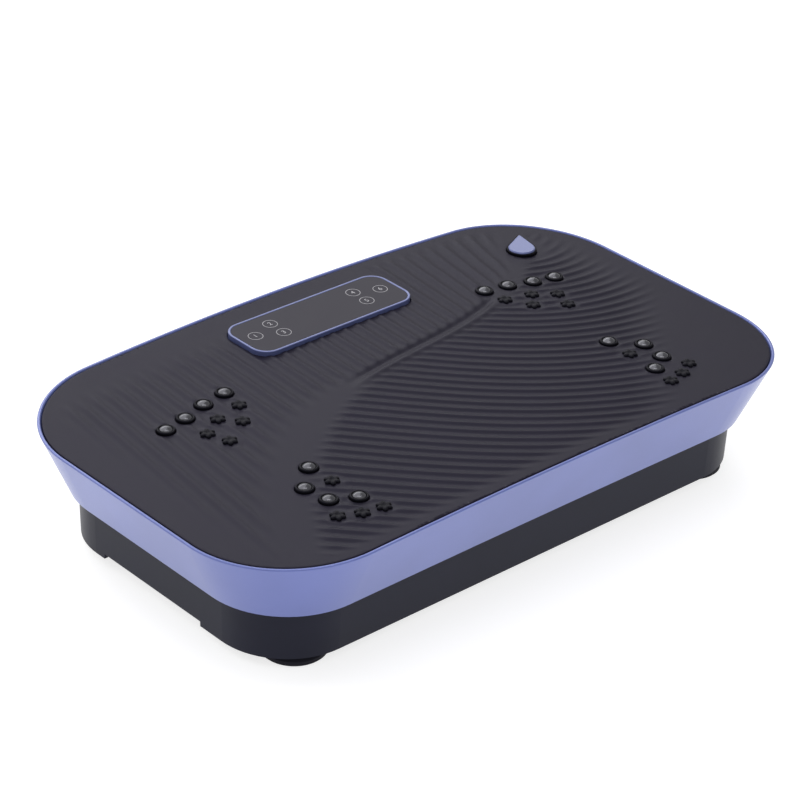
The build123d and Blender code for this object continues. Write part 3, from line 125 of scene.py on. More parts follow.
class Studio(bpy.types.PropertyGroup):
    """Camera, lights and floor."""

    azimuth: angle("Azimuth", "Camera's turn from the front", -42.9)
    elevation: angle("Elevation", "Camera's height angle", 29.7)
    roll: angle("Roll", "Camera's tilt about its axis", 2.36)
    distance: length("Distance", "Camera to its target", 2.1449)
    lens: FloatProperty(name="Lens", description="Camera's focal length", default=133.4, unit="CAMERA")
    floor_size: length("Floor size", "Side of the floor", 16.0)
    target: FloatVectorProperty(name="Target", description="Point that the camera looks at", size=3,
                                default=(-0.01144, 0.0041, 0.083), subtype="TRANSLATION")


# ---- Shader arithmetic ----
class Value:
    """A shader socket on which arithmetic adds Math nodes."""

    def __init__(self, graph, socket):
        self.graph = graph
        self.socket = socket

    def _math(self, operation, first, second):
        return self.graph.node("ShaderNodeMath", {"operation": operation}, {0: first, 1: second})

    def __add__(self, other):
        return self._math("ADD", self, other)

    def __sub__(self, other):
        return self._math("SUBTRACT", self, other)

    def __rsub__(self, other):
        return self._math("SUBTRACT", other, self)

    def __mul__(self, other):
        return self._math("MULTIPLY", self, other)

    __radd__ = __add__
    __rmul__ = __mul__


class Graph:
    """The node tree of one material, in the object's own coordinates."""

    def __init__(self, name):
        self.material = bpy.data.materials.new(name)
        self.material.use_nodes = True
        self.tree = self.material.node_tree
        self.shader = self.tree.nodes["Principled BSDF"]
        self.place = self.node("ShaderNodeTexCoord", {}, {}, "Object")

    def node(self, kind, settings, inputs, output=0):
        """Adds a node: its type, its settings, then the values or links of its sockets."""
        node = self.tree.nodes.new(kind)
        for key, value in settings.items():
            setattr(node, key, value)
        for key, value in inputs.items():
            self.feed(node.inputs[key], value)
        return Value(self, node.outputs[output])

    def feed(self, socket, value):
        """Links a socket to another one's value, or sets it."""
        if isinstance(value, Value):
            self.tree.links.new(value.socket, socket)
        else:
            socket.default_value = value

    def noise(self, size, detail=3.0, stretch=(1, 1, 1)):
        """Soft random field whose features have a size in metres, around a half."""
        place = self.place
        if stretch != (1, 1, 1):
            place = self.node("ShaderNodeVectorMath", {"operation": "MULTIPLY"}, {0: place, 1: stretch})
        inputs = {"Vector": place, "Scale": 1 / size, "Detail": detail}
        return self.node("ShaderNodeTexNoise", {}, inputs)

    def cells(self, size):
        """Distance to the middle of the nearest cell of a size in metres."""
        return self.node("ShaderNodeTexVoronoi", {}, {"Vector": self.place, "Scale": 1 / size})

    def span(self, value, low, high, to_low=0.0, to_high=1.0):
        """Maps a range to another, held at its ends."""
        return self.node("ShaderNodeMapRange", {}, {0: value, 1: low, 2: high, 3: to_low, 4: to_high})

    def mix(self, share, first, second):
        """Blends two colours."""
        ends = {6: self.opaque(first), 7: self.opaque(second)}
        return self.node("ShaderNodeMix", {"data_type": "RGBA"}, {0: share, **ends}, 2)

    @staticmethod
    def opaque(value):
        """A socket as it is, or a colour with full alpha."""
        return value if isinstance(value, Value) else (*value, 1.0)

    def bump(self, height, depth):
        """Normal bent by a height field from 0 to 1 that stands for a depth in metres."""
        inputs = {"Height": height, "Distance": depth, "Strength": 1.0}
        self.feed(self.shader.inputs["Normal"], self.node("ShaderNodeBump", {}, inputs))

    def set(self, **sockets):
        """Sets the shader's own sockets; an underscore in a name stands for a space."""
        for name, value in sockets.items():
            socket = self.shader.inputs[name.replace("_", " ")]
            if socket.type == "RGBA":
                value = self.opaque(value)
            self.feed(socket, value)


def tint(base, factor):
    """A colour made lighter or darker."""
    return tuple(min(1.0, channel * factor) for channel in base)


# ---- Finishes ----
def moulded_plastic(name, base, roughness, grain=0.6 * MM, depth=0.03 * MM, gloss=0.5):
    """Moulded plastic with a fine spark-eroded grain and faint flow marks."""
    graph = Graph(name)
    flow = graph.noise(60 * MM, 2.0, (1, 1, 2.5))
    speck = graph.noise(grain, 2.0)
    graph.set(
        Base_Color=graph.mix(graph.span(flow, 0.3, 0.7), tint(base, 0.9), tint(base, 1.12)),
        Roughness=roughness + 0.10 * (speck - 0.5) + 0.05 * (flow - 0.5),
        Specular_IOR_Level=gloss,
        Specular_Tint=(0.8, 0.8, 1.0),
    )
    graph.bump(speck, depth)
    return graph.material


def rubber(name, base, roughness, grain=0.5 * MM, depth=0.03 * MM, gloss=0.2):
    """Soft matt rubber: a fine stipple, slight bloom and dust in patches."""
    graph = Graph(name)
    stipple = graph.cells(grain)
    patches = graph.noise(38 * MM, 4.0)
    bloom = graph.span(patches, 0.42, 0.68)
    graph.set(
        Base_Color=graph.mix(bloom, tint(base, 0.94), tint(base, 1.1)),
        Roughness=roughness + 0.07 * (patches - 0.5) + 0.05 * stipple,
        Specular_IOR_Level=gloss,
        Specular_Tint=(0.74, 0.72, 1.0),
    )
    graph.bump(stipple, depth)
    return graph.material


def pearl_lacquer(name, base):
    """Satin pearl lacquer: fine mica flakes under a clear coat with a light orange peel."""
    graph = Graph(name)
    flakes = graph.cells(0.16 * MM)
    cloud = graph.noise(70 * MM, 2.0)
    peel = graph.noise(2.4 * MM, 2.0)
    glint = graph.span(flakes, 0.05, 0.35, 1.0, 0.0)
    lit = graph.mix(graph.span(cloud, 0.3, 0.7), tint(base, 0.94), tint(base, 1.06))
    graph.set(
        Base_Color=graph.mix(0.22 * glint, lit, tint(base, 1.7)),
        Metallic=0.3,
        Roughness=0.38 + 0.08 * (flakes - 0.5),
        Specular_IOR_Level=0.3,
        Coat_Weight=0.4,
        Coat_Roughness=0.12,
    )
    graph.bump(peel, 0.012 * MM)
    return graph.material


def smoked_glass(name, base):
    """Smoked touch glass: smooth, with a faint haze of handling."""
    graph = Graph(name)
    haze = graph.noise(22 * MM, 4.0)
    graph.set(
        Base_Color=graph.mix(graph.span(haze, 0.35, 0.7), base, tint(base, 1.07)),
        Roughness=0.3 + 0.07 * (haze - 0.5),
        Specular_IOR_Level=0.1,
        Specular_Tint=(0.85, 0.82, 1.0),
    )
    graph.bump(graph.noise(9 * MM, 1.0), 0.002 * MM)
    return graph.material


def metal(name, base, roughness, brush=(1, 1, 1), grain=0.4 * MM, depth=0.006 * MM):
    """Metal with a fine lay of tool marks and patches of handling."""
    graph = Graph(name)
    lay = graph.noise(grain, 3.0, brush)
    patches = graph.noise(16 * MM, 4.0)
    graph.set(
        Base_Color=graph.mix(graph.span(patches, 0.35, 0.7), tint(base, 0.9), tint(base, 1.08)),
        Metallic=1.0,
        Roughness=roughness + 0.12 * (lay - 0.5) + 0.10 * (patches - 0.5),
    )
    graph.bump(lay, depth)
    return graph.material


def cast_iron(name, base):
    """Painted casting with a sandy skin."""
    graph = Graph(name)
    sand = graph.noise(0.9 * MM, 5.0)
    graph.set(
        Base_Color=graph.mix(graph.span(sand, 0.35, 0.65), tint(base, 0.8), tint(base, 1.2)),
        Roughness=0.52 + 0.2 * (sand - 0.5),
    )
    graph.bump(sand, 0.12 * MM)
    return graph.material


def board_laminate(name, base):
    """Green laminate with copper tracks showing through the mask."""
    graph = Graph(name)
    bricks = {"Vector": graph.place, "Scale": 140.0, "Mortar Size": 0.035}
    weave = graph.node("ShaderNodeTexBrick", {}, bricks, output=1)
    cloud = graph.noise(9 * MM, 3.0)
    tracks = graph.span(weave, 0.2, 0.8) * graph.span(cloud, 0.45, 0.55)
    graph.set(
        Base_Color=graph.mix(tracks, base, tint(base, 2.3)),
        Roughness=0.34 + 0.1 * (cloud - 0.5),
    )
    graph.bump(tracks, 0.03 * MM)
    return graph.material


def pad_foam(name, base):
    """Open foam under the touch keys; its base colour is darker in the pore hollows, which is painted
    shade.
    """
    graph = Graph(name)
    pore_depth_and_shade = graph.cells(0.7 * MM)
    # Darker base colour in the pore hollows is painted shade; the same field sinks the pores and sets
    # their roughness.
    graph.set(
        Base_Color=graph.mix(pore_depth_and_shade, tint(base, 0.6), tint(base, 1.2)),
        Roughness=0.9 - 0.1 * pore_depth_and_shade,
    )
    graph.bump(pore_depth_and_shade, 0.2 * MM)
    return graph.material


def key_print(name, base):
    """Silk-screened ink."""
    graph = Graph(name)
    speck = graph.noise(0.25 * MM, 2.0)
    graph.set(
        Base_Color=graph.mix(speck, tint(base, 0.9), tint(base, 1.1)),
        Roughness=0.42 + 0.1 * speck,
    )
    return graph.material


def finish(slot):
    """The material of one of the record's slots, made once; the imported one of that name is renamed."""
    if slot not in bpy.data.materials or "finished" not in bpy.data.materials[slot]:
        made = FINISHES[slot](f"{slot}_finish")
        imported = bpy.data.materials.get(slot)
        if imported:
            imported.name = f"{slot}_plain"
        made.name = slot
        made["finished"] = True
    return bpy.data.materials[slot]


def colours():
    """The plate's colours, as a user has set them."""
    return bpy.context.scene.plate_colours


FINISHES = {
    "mat_rubber": lambda n: rubber(n, colours().mat, 0.45, 0.5 * MM, 0.02 * MM, gloss=0.18),
    "stud_rubber": lambda n: rubber(n, colours().stud, 0.45, 0.3 * MM, 0.015 * MM, gloss=0.1),
    "foot_rubber": lambda n: rubber(n, tint(colours().stud, 1.1), 0.6),
    "belt_rubber": lambda n: rubber(n, (0.016, 0.016, 0.017), 0.6),
    "tray_plastic": lambda n: moulded_plastic(n, colours().tray, 0.4, gloss=0.22),
    "cover_plastic": lambda n: moulded_plastic(n, (0.026, 0.026, 0.03), 0.5),
    "component_plastic": lambda n: moulded_plastic(n, (0.05, 0.052, 0.06), 0.45),
    "display_plastic": lambda n: moulded_plastic(n, (0.02, 0.02, 0.024), 0.3),
    "fitting_plastic": lambda n: moulded_plastic(n, (0.014, 0.014, 0.016), 0.34),
    "rocker_plastic": lambda n: moulded_plastic(n, (0.30, 0.016, 0.014), 0.3, 0.4 * MM, 0.01 * MM),
    "cable_sheath": lambda n: moulded_plastic(n, (0.02, 0.02, 0.022), 0.45, 0.5 * MM, 0.02 * MM),
    "skirt_finish": lambda n: pearl_lacquer(n, colours().skirt),
    "panel_trim": lambda n: pearl_lacquer(n, colours().trim),
    "panel_glass": lambda n: smoked_glass(n, colours().glass),
    "dome_metal": lambda n: metal(n, colours().dome, 0.24, grain=1.2 * MM, depth=0.002 * MM),
    "zinc_steel": lambda n: metal(n, (0.55, 0.56, 0.58), 0.38, (1, 6, 1)),
    "black_steel": lambda n: metal(n, (0.06, 0.06, 0.065), 0.46, (1, 4, 1)),
    "bearing_steel": lambda n: metal(n, (0.62, 0.62, 0.63), 0.2, (1, 8, 8)),
    "bush_bronze": lambda n: metal(n, (0.55, 0.34, 0.16), 0.34),
    "pulley_alloy": lambda n: metal(n, (0.56, 0.57, 0.59), 0.36, (6, 1, 1)),
    "rod_alloy": lambda n: metal(n, (0.5, 0.51, 0.54), 0.4),
    "sink_alloy": lambda n: metal(n, (0.42, 0.43, 0.46), 0.42, (1, 1, 6)),
    "contact_metal": lambda n: metal(n, (0.66, 0.6, 0.42), 0.26),
    "block_iron": lambda n: cast_iron(n, (0.07, 0.08, 0.1)),
    "board_laminate": lambda n: board_laminate(n, (0.012, 0.07, 0.035)),
    "pad_foam": lambda n: pad_foam(n, (0.1, 0.1, 0.1)),
}


# ---- Reading the frame ----
WELD = 0.001 * MM  # points closer than this are one
TOP_LEVEL = 0.05 * MM  # how far the corners of the mat's top face may lie off its arch


def welded(node):
    """A CAD node's points merged by place, and its faces on them."""
    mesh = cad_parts[node].data
    index, points, remap = {}, [], []
    for vertex in mesh.vertices:
        key = tuple(round(value / WELD) for value in vertex.co)
        if key not in index:
            index[key] = len(points)
            points.append(vertex.co.copy())
        remap.append(index[key])
    return points, [[remap[i] for i in face.vertices] for face in mesh.polygons]


def islands(node):
    """Lowest and highest corner of each separate solid of a CAD node, left to right."""
    points, faces = welded(node)
    parent = list(range(len(points)))

    def root(i):
        while parent[i] != i:
            parent[i] = parent[parent[i]]
            i = parent[i]
        return i

    for face in faces:
        for i in face[1:]:
            parent[root(i)] = root(face[0])
    groups = {}
    for i, point in enumerate(points):
        groups.setdefault(root(i), []).append(point)
    boxes = []
    for group in groups.values():
        low = Vector([min(p[k] for p in group) for k in range(3)])
        high = Vector([max(p[k] for p in group) for k in range(3)])
        boxes.append((low, high))
    return sorted(boxes, key=lambda box: (round(box[0].x, 4), box[0].y))


def centre(box):
    """Middle of a box."""
    return (box[0] + box[1]) / 2


def on_floor(box):
    """Middle of a box, taken down to the floor."""
    middle = centre(box)
    return Vector((middle.x, middle.y, 0))


class Arch:
    """The arched level of the mat's top, read from the mat's own solid."""

    def __init__(self):
        points, faces = welded("top_mat")
        self.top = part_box("top_mat")[1].z
        end = max(points, key=lambda p: (round(p.x, 4), p.z))
        sag = self.top - end.z
        self.radius = (end.x**2 + sag**2) / (2 * sag)
        self.loops = self.rims(points, faces)

    def level(self, x):
        """Height of the arch at an X."""
        return self.top - self.radius + np.sqrt(self.radius**2 - np.asarray(x) ** 2)

    def rims(self, points, faces):
        """Closed outlines of the mat's top face: its outside first, then its holes."""
        def upper(face):
            return all(abs(points[i].z - self.level(points[i].x)) < TOP_LEVEL for i in face)

        edges = set()
        for face in faces:
            if upper(face):
                for a, b in zip(face, face[1:] + face[:1]):
                    if (b, a) in edges:
                        edges.remove((b, a))
                    else:
                        edges.add((a, b))
        following = dict(edges)
        loops = []
        while following:
            start, current = following.popitem()
            loop = [start]
            while current != start:
                loop.append(current)
                current = following.pop(current)
            loops.append(np.array([(points[i].x, points[i].y) for i in loop]))
        return sorted(loops, key=lambda loop: -np.ptp(loop[:, 0]))


# ---- Mesh helpers ----
def new_piece(name, points, faces, slot, body="deck", smooth=True):
    """A mesh piece that rides on a body and takes its finish from a slot."""
    mesh = bpy.data.meshes.new(name)
    mesh.from_pydata([tuple(p) for p in points], [], faces)
    mesh.validate()
    shell = bmesh.new()
    shell.from_mesh(mesh)
    bmesh.ops.recalc_face_normals(shell, faces=shell.faces)
    shell.to_mesh(mesh)
    shell.free()
    mesh.polygons.foreach_set("use_smooth", [smooth] * len(mesh.polygons))
    mesh.materials.append(finish(slot))
    piece = bpy.data.objects.new(name, mesh)
    bpy.context.scene.collection.objects.link(piece)
    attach(piece, body)
    return piece


def evenly(loop, step):
    """Points along a closed outline about a step apart, its corners kept."""
    out = []
    for a, b in zip(loop, np.roll(loop, -1, 0)):
        count = max(1, int(round(np.linalg.norm(b - a) / step)))
        out += [a + (b - a) * k / count for k in range(count)]
    return np.array(out)


def inward(loop, distance):
    """An outline moved to its left, which is into the material for a rim of the mat."""
    along = np.roll(loop, -1, 0) - np.roll(loop, 1, 0)
    along /= np.linalg.norm(along, axis=1)[:, None]
    return loop + distance * np.stack([-along[:, 1], along[:, 0]], 1)


def inside(points, loop):
    """Which points lie inside a closed outline."""
    x, y = points[:, 0], points[:, 1]
    odd = np.zeros(len(points), bool)
    for (ax, ay), (bx, by) in zip(loop, np.roll(loop, -1, 0)):
        if ay != by:
            crosses = (ay > y) != (by > y)
            odd ^= crosses & (x < (bx - ax) * (y - ay) / (by - ay) + ax)
    return odd


def within(points, loops):
    """Which points lie inside the first outline and outside the others."""
    keep = inside(points, loops[0])
    for hole in loops[1:]:
        keep &= ~inside(points, hole)
    return keep


def clearance(points, rims):
    """Distance from each point to the nearest point of any outline."""
    rim_points = np.concatenate(rims)
    tree = KDTree(len(rim_points))
    for i, (x, y) in enumerate(rim_points):
        tree.insert((x, y, 0), i)
    tree.balance()
    return np.array([tree.find((x, y, 0))[2] for x, y in points])


def triangulate(points, rims, loops):
    """Triangles on the points that fill the outside loop and spare the holes."""
    edges, start = [], 0
    for rim in rims:
        edges += [(start + i, start + (i + 1) % len(rim)) for i in range(len(rim))]
        start += len(rim)
    found = delaunay_2d_cdt([Vector(p) for p in points], edges, [], 0, 1e-8, True)
    source = [ids[0] for ids in found[3]]
    faces = np.array([[source[i] for i in face] for face in found[2]])
    return faces[within(points[faces].mean(1), loops)]


def lathe(profile, centre_point, segments=48):
    """A closed surface of revolution about an upright axis; the profile may start and end on it."""
    points, faces, rings = [], [], []
    for radius, level in profile:
        if radius < 1e-7:
            rings.append([len(points)])
            points.append(centre_point + Vector((0, 0, level)))
            continue
        ring = []
        for k in range(segments):
            turn = 2 * pi * k / segments
            ring.append(len(points))
            points.append(centre_point + Vector((radius * cos(turn), radius * sin(turn), level)))
        rings.append(ring)
    for low, high in zip(rings, rings[1:]):
        for k in range(segments):
            quad = [low[k % len(low)], low[(k + 1) % len(low)]]
            quad += [high[(k + 1) % len(high)], high[k % len(high)]]
            faces.append(list(dict.fromkeys(quad)))
    return points, faces


def gather(parts):
    """Several point and face lists as one."""
    points, faces = [], []
    for part_points, part_faces in parts:
        start = len(points)
        points += part_points
        faces += [[start + i for i in face] for face in part_faces]
    return points, faces


def bend(radius, count, first, last):
    """Offsets of a round edge, as (across, up) from its centre, between two angles in degrees."""
    angles = [radians(first + (last - first) * k / count) for k in range(count + 1)]
    return [(radius * cos(a), radius * sin(a)) for a in angles]


# ---- The mat's relief ----
def fade(value, start, end):
    """Smooth step from 0 at start to 1 at end."""
    share = np.clip((value - start) / (end - start), 0, 1)
    return share * share * (3 - 2 * share)


def ripple(phase, sharpness=1.8):
    """Rounded rib with a slightly sharper crest than valley, from 0 to 1."""
    return (0.5 + 0.5 * np.cos(2 * pi * phase)) ** sharpness


class Relief:
    """Height of the mat's pattern over the plan, in metres.

    A long fold crosses the mat. In front of it curved ribs keep a constant distance from each other, so
    they share their normals. Behind it the ribs stand like a comb and lean more towards the ends, most at
    the right.
    """

    FOLD_MIDDLE = (20 * MM, 25.4 * MM)
    FOLD_SLOPE = 0.12
    FOLD_CURL = 9.4  # per square metre, growing with the third power
    FOLD_ENDS = (-58 * MM, -20 * MM, 112 * MM, 128 * MM)  # its start, full height, ease and end along X
    FOLD_WIDTH = 3.1 * MM
    TURN = 212 * MM  # where the curved ribs run along X
    TURN_REACH = 110 * MM
    STEEPEST = 0.78  # sine of the curved ribs' greatest slope
    CURVED_END = (240 * MM, 0.85)  # X of the curved ribs' right end, and its slope towards the front
    CURVED_EASE = (-14 * MM, 44 * MM)
    COMB_LEFT, COMB_LEFT_EASE = -242 * MM, 24 * MM
    COMB_RIGHT, COMB_RIGHT_EASE = 214 * MM, 26 * MM
    COMB_BACK, COMB_BACK_EASE = 132 * MM, 26 * MM  # left of COMB_CORNER; right of it the comb runs on
    COMB_CORNER = 80 * MM
    COMB_MIDDLE = 60 * MM  # where leaning ribs keep their distance
    COMB_LEAN = 0.03
    LEFT_LEAN, LEFT_REACH = 0.09, 220 * MM
    RIGHT_LEAN, RIGHT_REACH = 0.26, 190 * MM
    COMB_SHARE = 0.9  # height of the comb's ribs against the curved ones
    SHORE = (7 * MM, 14 * MM)  # plain strip along the fold, and what it gains towards the left
    SHORE_GROWTH = (20 * MM, 130 * MM)
    SHORE_EASE = (0.45, 7 * MM)  # ribs begin at this share of the strip and are whole this far past it
    STUD_SPARE = (6.5 * MM, 11 * MM)  # no ribs this close to a dome or stud, whole ribs from here
    RIM_BAND = (6 * MM, 18 * MM)  # the same, from the mat's outside edge
    CAP_SPARE = (16 * MM, 30 * MM)  # and from the corner cap
    VALLEY = 0.4  # share of a rib's height that lies under the mat's level
    LIP, LIP_PLACE = 0.55, -1.0  # share of the fold's height; place in fold widths, behind the fold
    GROOVE, GROOVE_PLACE = 0.75, 0.9

    def __init__(self, sizes, spots, cap):
        self.sizes = sizes
        self.spots = spots
        self.cap = cap

    def fold_line(self, x):
        """Y of the fold, and its slope."""
        along = x - self.FOLD_MIDDLE[0]
        curl = self.FOLD_CURL * along**2
        return self.FOLD_MIDDLE[1] + along * (self.FOLD_SLOPE + curl), self.FOLD_SLOPE + 3 * curl

    def curved_phase(self, x, y):
        """Distance across the curved ribs, by the place where each normal crosses the long axis."""
        foot = x.copy()
        for _ in range(12):  # damped Newton steps
            sine = self.STEEPEST * np.tanh((self.TURN - foot) / self.TURN_REACH)
            cosine = np.sqrt(1 - sine**2)
            change = -(self.STEEPEST**2 - sine**2) / (self.STEEPEST * self.TURN_REACH) / cosine**3
            foot -= 0.8 * (foot + y * sine / cosine - x) / np.maximum(1 + y * change, 0.25)
        base = -self.STEEPEST * self.TURN_REACH * np.log(np.cosh((self.TURN - foot) / self.TURN_REACH))
        return (base + y / cosine) / self.sizes.rib_pitch

    def comb_phase(self, x, y):
        """Distance across the comb's ribs, which lean more towards both ends."""
        lean = self.COMB_LEAN + self.LEFT_LEAN * np.clip(-x / self.LEFT_REACH, 0, 1) ** 2
        lean += self.RIGHT_LEAN * np.clip(x / self.RIGHT_REACH, 0, 1.3) ** 2
        return (x - lean * (y - self.COMB_MIDDLE)) / self.sizes.comb_pitch

    def height(self, x, y, edge):
        """Height over the arch at a place, by its distance from the mat's outside edge."""
        line, slope = self.fold_line(x)
        above = (y - line) / np.sqrt(1 + slope**2)
        shore = self.SHORE[0] + self.SHORE[1] * fade(-x, *self.SHORE_GROWTH)
        begin, full = self.SHORE_EASE[0] * shore, shore + self.SHORE_EASE[1]
        right_end = self.CURVED_END[0] + self.CURVED_END[1] * np.minimum(y, 0)
        curved = fade(-above, begin, full) * fade(right_end - x, *self.CURVED_EASE)
        comb = fade(above, begin, full) * fade(self.COMB_RIGHT - x, 0, self.COMB_RIGHT_EASE)
        comb *= fade(x - self.COMB_LEFT, 0, self.COMB_LEFT_EASE)
        from_back = np.where(x < self.COMB_CORNER, self.COMB_BACK - y, 1.0)
        comb *= fade(from_back, 0, self.COMB_BACK_EASE)
        band = fade(edge, *self.RIM_BAND)
        spare = np.ones_like(x)
        for spot_x, spot_y in self.spots:
            spare *= fade(np.hypot(x - spot_x, y - spot_y), *self.STUD_SPARE)
        spare *= fade(np.hypot(x - self.cap.x, y - self.cap.y), *self.CAP_SPARE)
        ribs = curved * (ripple(self.curved_phase(x, y)) - self.VALLEY)
        ribs += self.COMB_SHARE * comb * (ripple(self.comb_phase(x, y)) - self.VALLEY)
        return self.sizes.rib_height * ribs * band * spare + self.fold(x, above)

    def fold(self, x, above):
        """A valley with a raised lip in front of it."""
        start, full, ease, end = self.FOLD_ENDS
        share = fade(x, start, full) * (1 - fade(x, ease, end))
        lip = np.exp(-((above / self.FOLD_WIDTH - self.LIP_PLACE) ** 2))
        groove = np.exp(-((above / self.FOLD_WIDTH - self.GROOVE_PLACE) ** 2))
        return self.sizes.fold_height * share * (self.LIP * lip - self.GROOVE * groove)


# ---- Operators ----
class PLATE_OT_finishes(bpy.types.Operator):
    """Gives every solid of the frame its finish"""

    bl_idname = "plate.finishes"
    bl_label = "Frame Finishes"

    def execute(self, context):
        for name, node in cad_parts.items():
            for place in node.material_slots:
                slot = place.material.name.removesuffix("_plain")
                if slot not in FINISHES:
                    raise RuntimeError(f"{name} has no finish for {slot}")
                place.material = finish(slot)
        return {"FINISHED"}


class PLATE_OT_ribbed_mat(bpy.types.Operator):
    """Builds the rubber mat with its ribs and its long fold"""

    bl_idname = "plate.ribbed_mat"
    bl_label = "Ribbed Mat"

    RIM_STEP = 1.2 * MM  # between points along the outlines
    UNDER_GRID = 9 * MM  # the plain underside needs few points
    UNDER_MARGIN = 4 * MM

    def execute(self, context):
        sizes = context.scene.plate_mat
        arch = Arch()
        if len(arch.loops) < 3:
            raise RuntimeError("the mat's outlines could not be read")
        rims = [evenly(loop, self.RIM_STEP) for loop in arch.loops]
        spots = [centre(box).xy for node in ("massage_domes", "grip_studs") for box in islands(node)]
        relief = Relief(sizes, spots, centre(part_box("corner_cap")).xy)

        steps = bend(sizes.edge_round, 3, 0, 90)
        rings = [[inward(rim, sizes.edge_round - across) for rim in rims] for across, up in steps]
        drops = [sizes.edge_round - up for across, up in steps]
        top, triangles = self.sheet(rims, rings[-1], arch, sizes.grid, sizes.edge_round)
        heights = relief.height(top[:, 0], top[:, 1], clearance(top, rims[:1]))
        points = [(x, y, z) for (x, y), z in zip(top, arch.level(top[:, 0]) + heights)]
        faces = [list(face) for face in triangles]
        count = sum(len(rim) for rim in rims)
        previous = list(range(count))
        flat = [np.concatenate(ring) for ring in rings]
        levels = [(flat[k], drops[k]) for k in range(len(steps) - 2, -1, -1)]
        levels.append((flat[0], sizes.thickness))
        for place, drop in levels:
            start = len(points)
            points += [(x, y, z) for (x, y), z in zip(place, arch.level(place[:, 0]) - drop)]
            current = list(range(start, start + count))
            faces += self.bands(rims, previous, current)
            previous = current
        under, triangles = self.sheet(rims, rings[0], arch, self.UNDER_GRID, self.UNDER_MARGIN)
        lower = arch.level(under[:, 0]) - sizes.thickness
        start = len(points)
        points += [(x, y, z) for (x, y), z in list(zip(under, lower))[count:]]
        link = previous + list(range(start, start + len(under) - count))
        faces += [[link[i] for i in reversed(face)] for face in triangles]
        mat = new_piece("ribbed_mat", points, faces, "mat_rubber")
        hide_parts("top_mat")
        return {"FINISHED"}

    @staticmethod
    def sheet(rims, ring, arch, grid, margin):
        """Points of one side of the mat, its outline points first, and the triangles on them."""
        low, high = ring[0].min(0), ring[0].max(0)
        xs = np.arange(low[0], high[0], grid)
        ys = np.arange(low[1], high[1], grid)
        places = np.stack(np.meshgrid(xs, ys), -1).reshape(-1, 2)
        places = places[within(places, arch.loops)]
        places = places[clearance(places, rims) > margin + 0.7 * min(grid, 2 * MM)]
        points = np.concatenate([*ring, places])
        return points, triangulate(points, ring, ring)

    @staticmethod
    def bands(rims, upper, lower):
        """Faces between two sets of outlines, one under the other."""
        faces, start = [], 0
        for rim in rims:
            for i in range(len(rim)):
                a, b = start + i, start + (i + 1) % len(rim)
                faces.append([upper[b], upper[a], lower[a], lower[b]])
            start += len(rim)
        return faces


class PLATE_OT_massage_domes(bpy.types.Operator):
    """Builds the polished domes"""

    bl_idname = "plate.massage_domes"
    bl_label = "Massage Domes"

    RISE = 0.44  # height of the crown as a share of its radius
    CROWN_END = 0.97  # share of the crown's angle, before its edge
    EDGE = 0.25 * MM  # drop from the crown's end to the wall

    def execute(self, context):
        domes = []
        for low, high in islands("massage_domes"):
            radius = (high.x - low.x) / 2
            middle = on_floor((low, high))
            cap = self.RISE * radius
            ball = (radius**2 + cap**2) / (2 * cap)
            widest = np.arcsin(radius / ball)
            angles = np.linspace(0, widest * self.CROWN_END, 12)
            crown = [(ball * sin(a), high.z - ball + ball * cos(a)) for a in angles]
            profile = crown + [(radius, crown[-1][1] - self.EDGE), (radius, low.z), (0, low.z)]
            domes.append(lathe(profile[::-1], middle))
        if not domes:
            raise RuntimeError("the frame has no massage domes")
        piece = new_piece("polished_domes", *gather(domes), "dome_metal")
        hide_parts("massage_domes")
        return {"FINISHED"}


class PLATE_OT_dome_collars(bpy.types.Operator):
    """Builds the soft collars around the domes"""

    bl_idname = "plate.dome_collars"
    bl_label = "Dome Collars"

    GAP = 0.1 * MM  # between a dome and its collar
    SIDE = 0.6 * MM  # straight stretch under the rounded shoulder

    def execute(self, context):
        domes, rubbers = islands("massage_domes"), islands("dome_collars")
        if not rubbers or len(rubbers) != len(domes):
            raise RuntimeError("each massage dome has one collar")
        collars = []
        for (low, high), dome in zip(rubbers, domes):
            outside = (high.x - low.x) / 2
            bore = (dome[1].x - dome[0].x) / 2 + self.GAP
            middle = on_floor((low, high))
            half = (outside - bore) / 2
            shoulder = high.z - half
            crown = [(bore + half + across, shoulder + up) for across, up in bend(half, 12, 0, 180)]
            foot = [(bore, low.z), (outside, low.z)]
            side = [(outside, shoulder - self.SIDE)]
            collars.append(lathe(foot + side + crown + foot[:1], middle))
        piece = new_piece("soft_collars", *gather(collars), "stud_rubber")
        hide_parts("dome_collars")
        return {"FINISHED"}


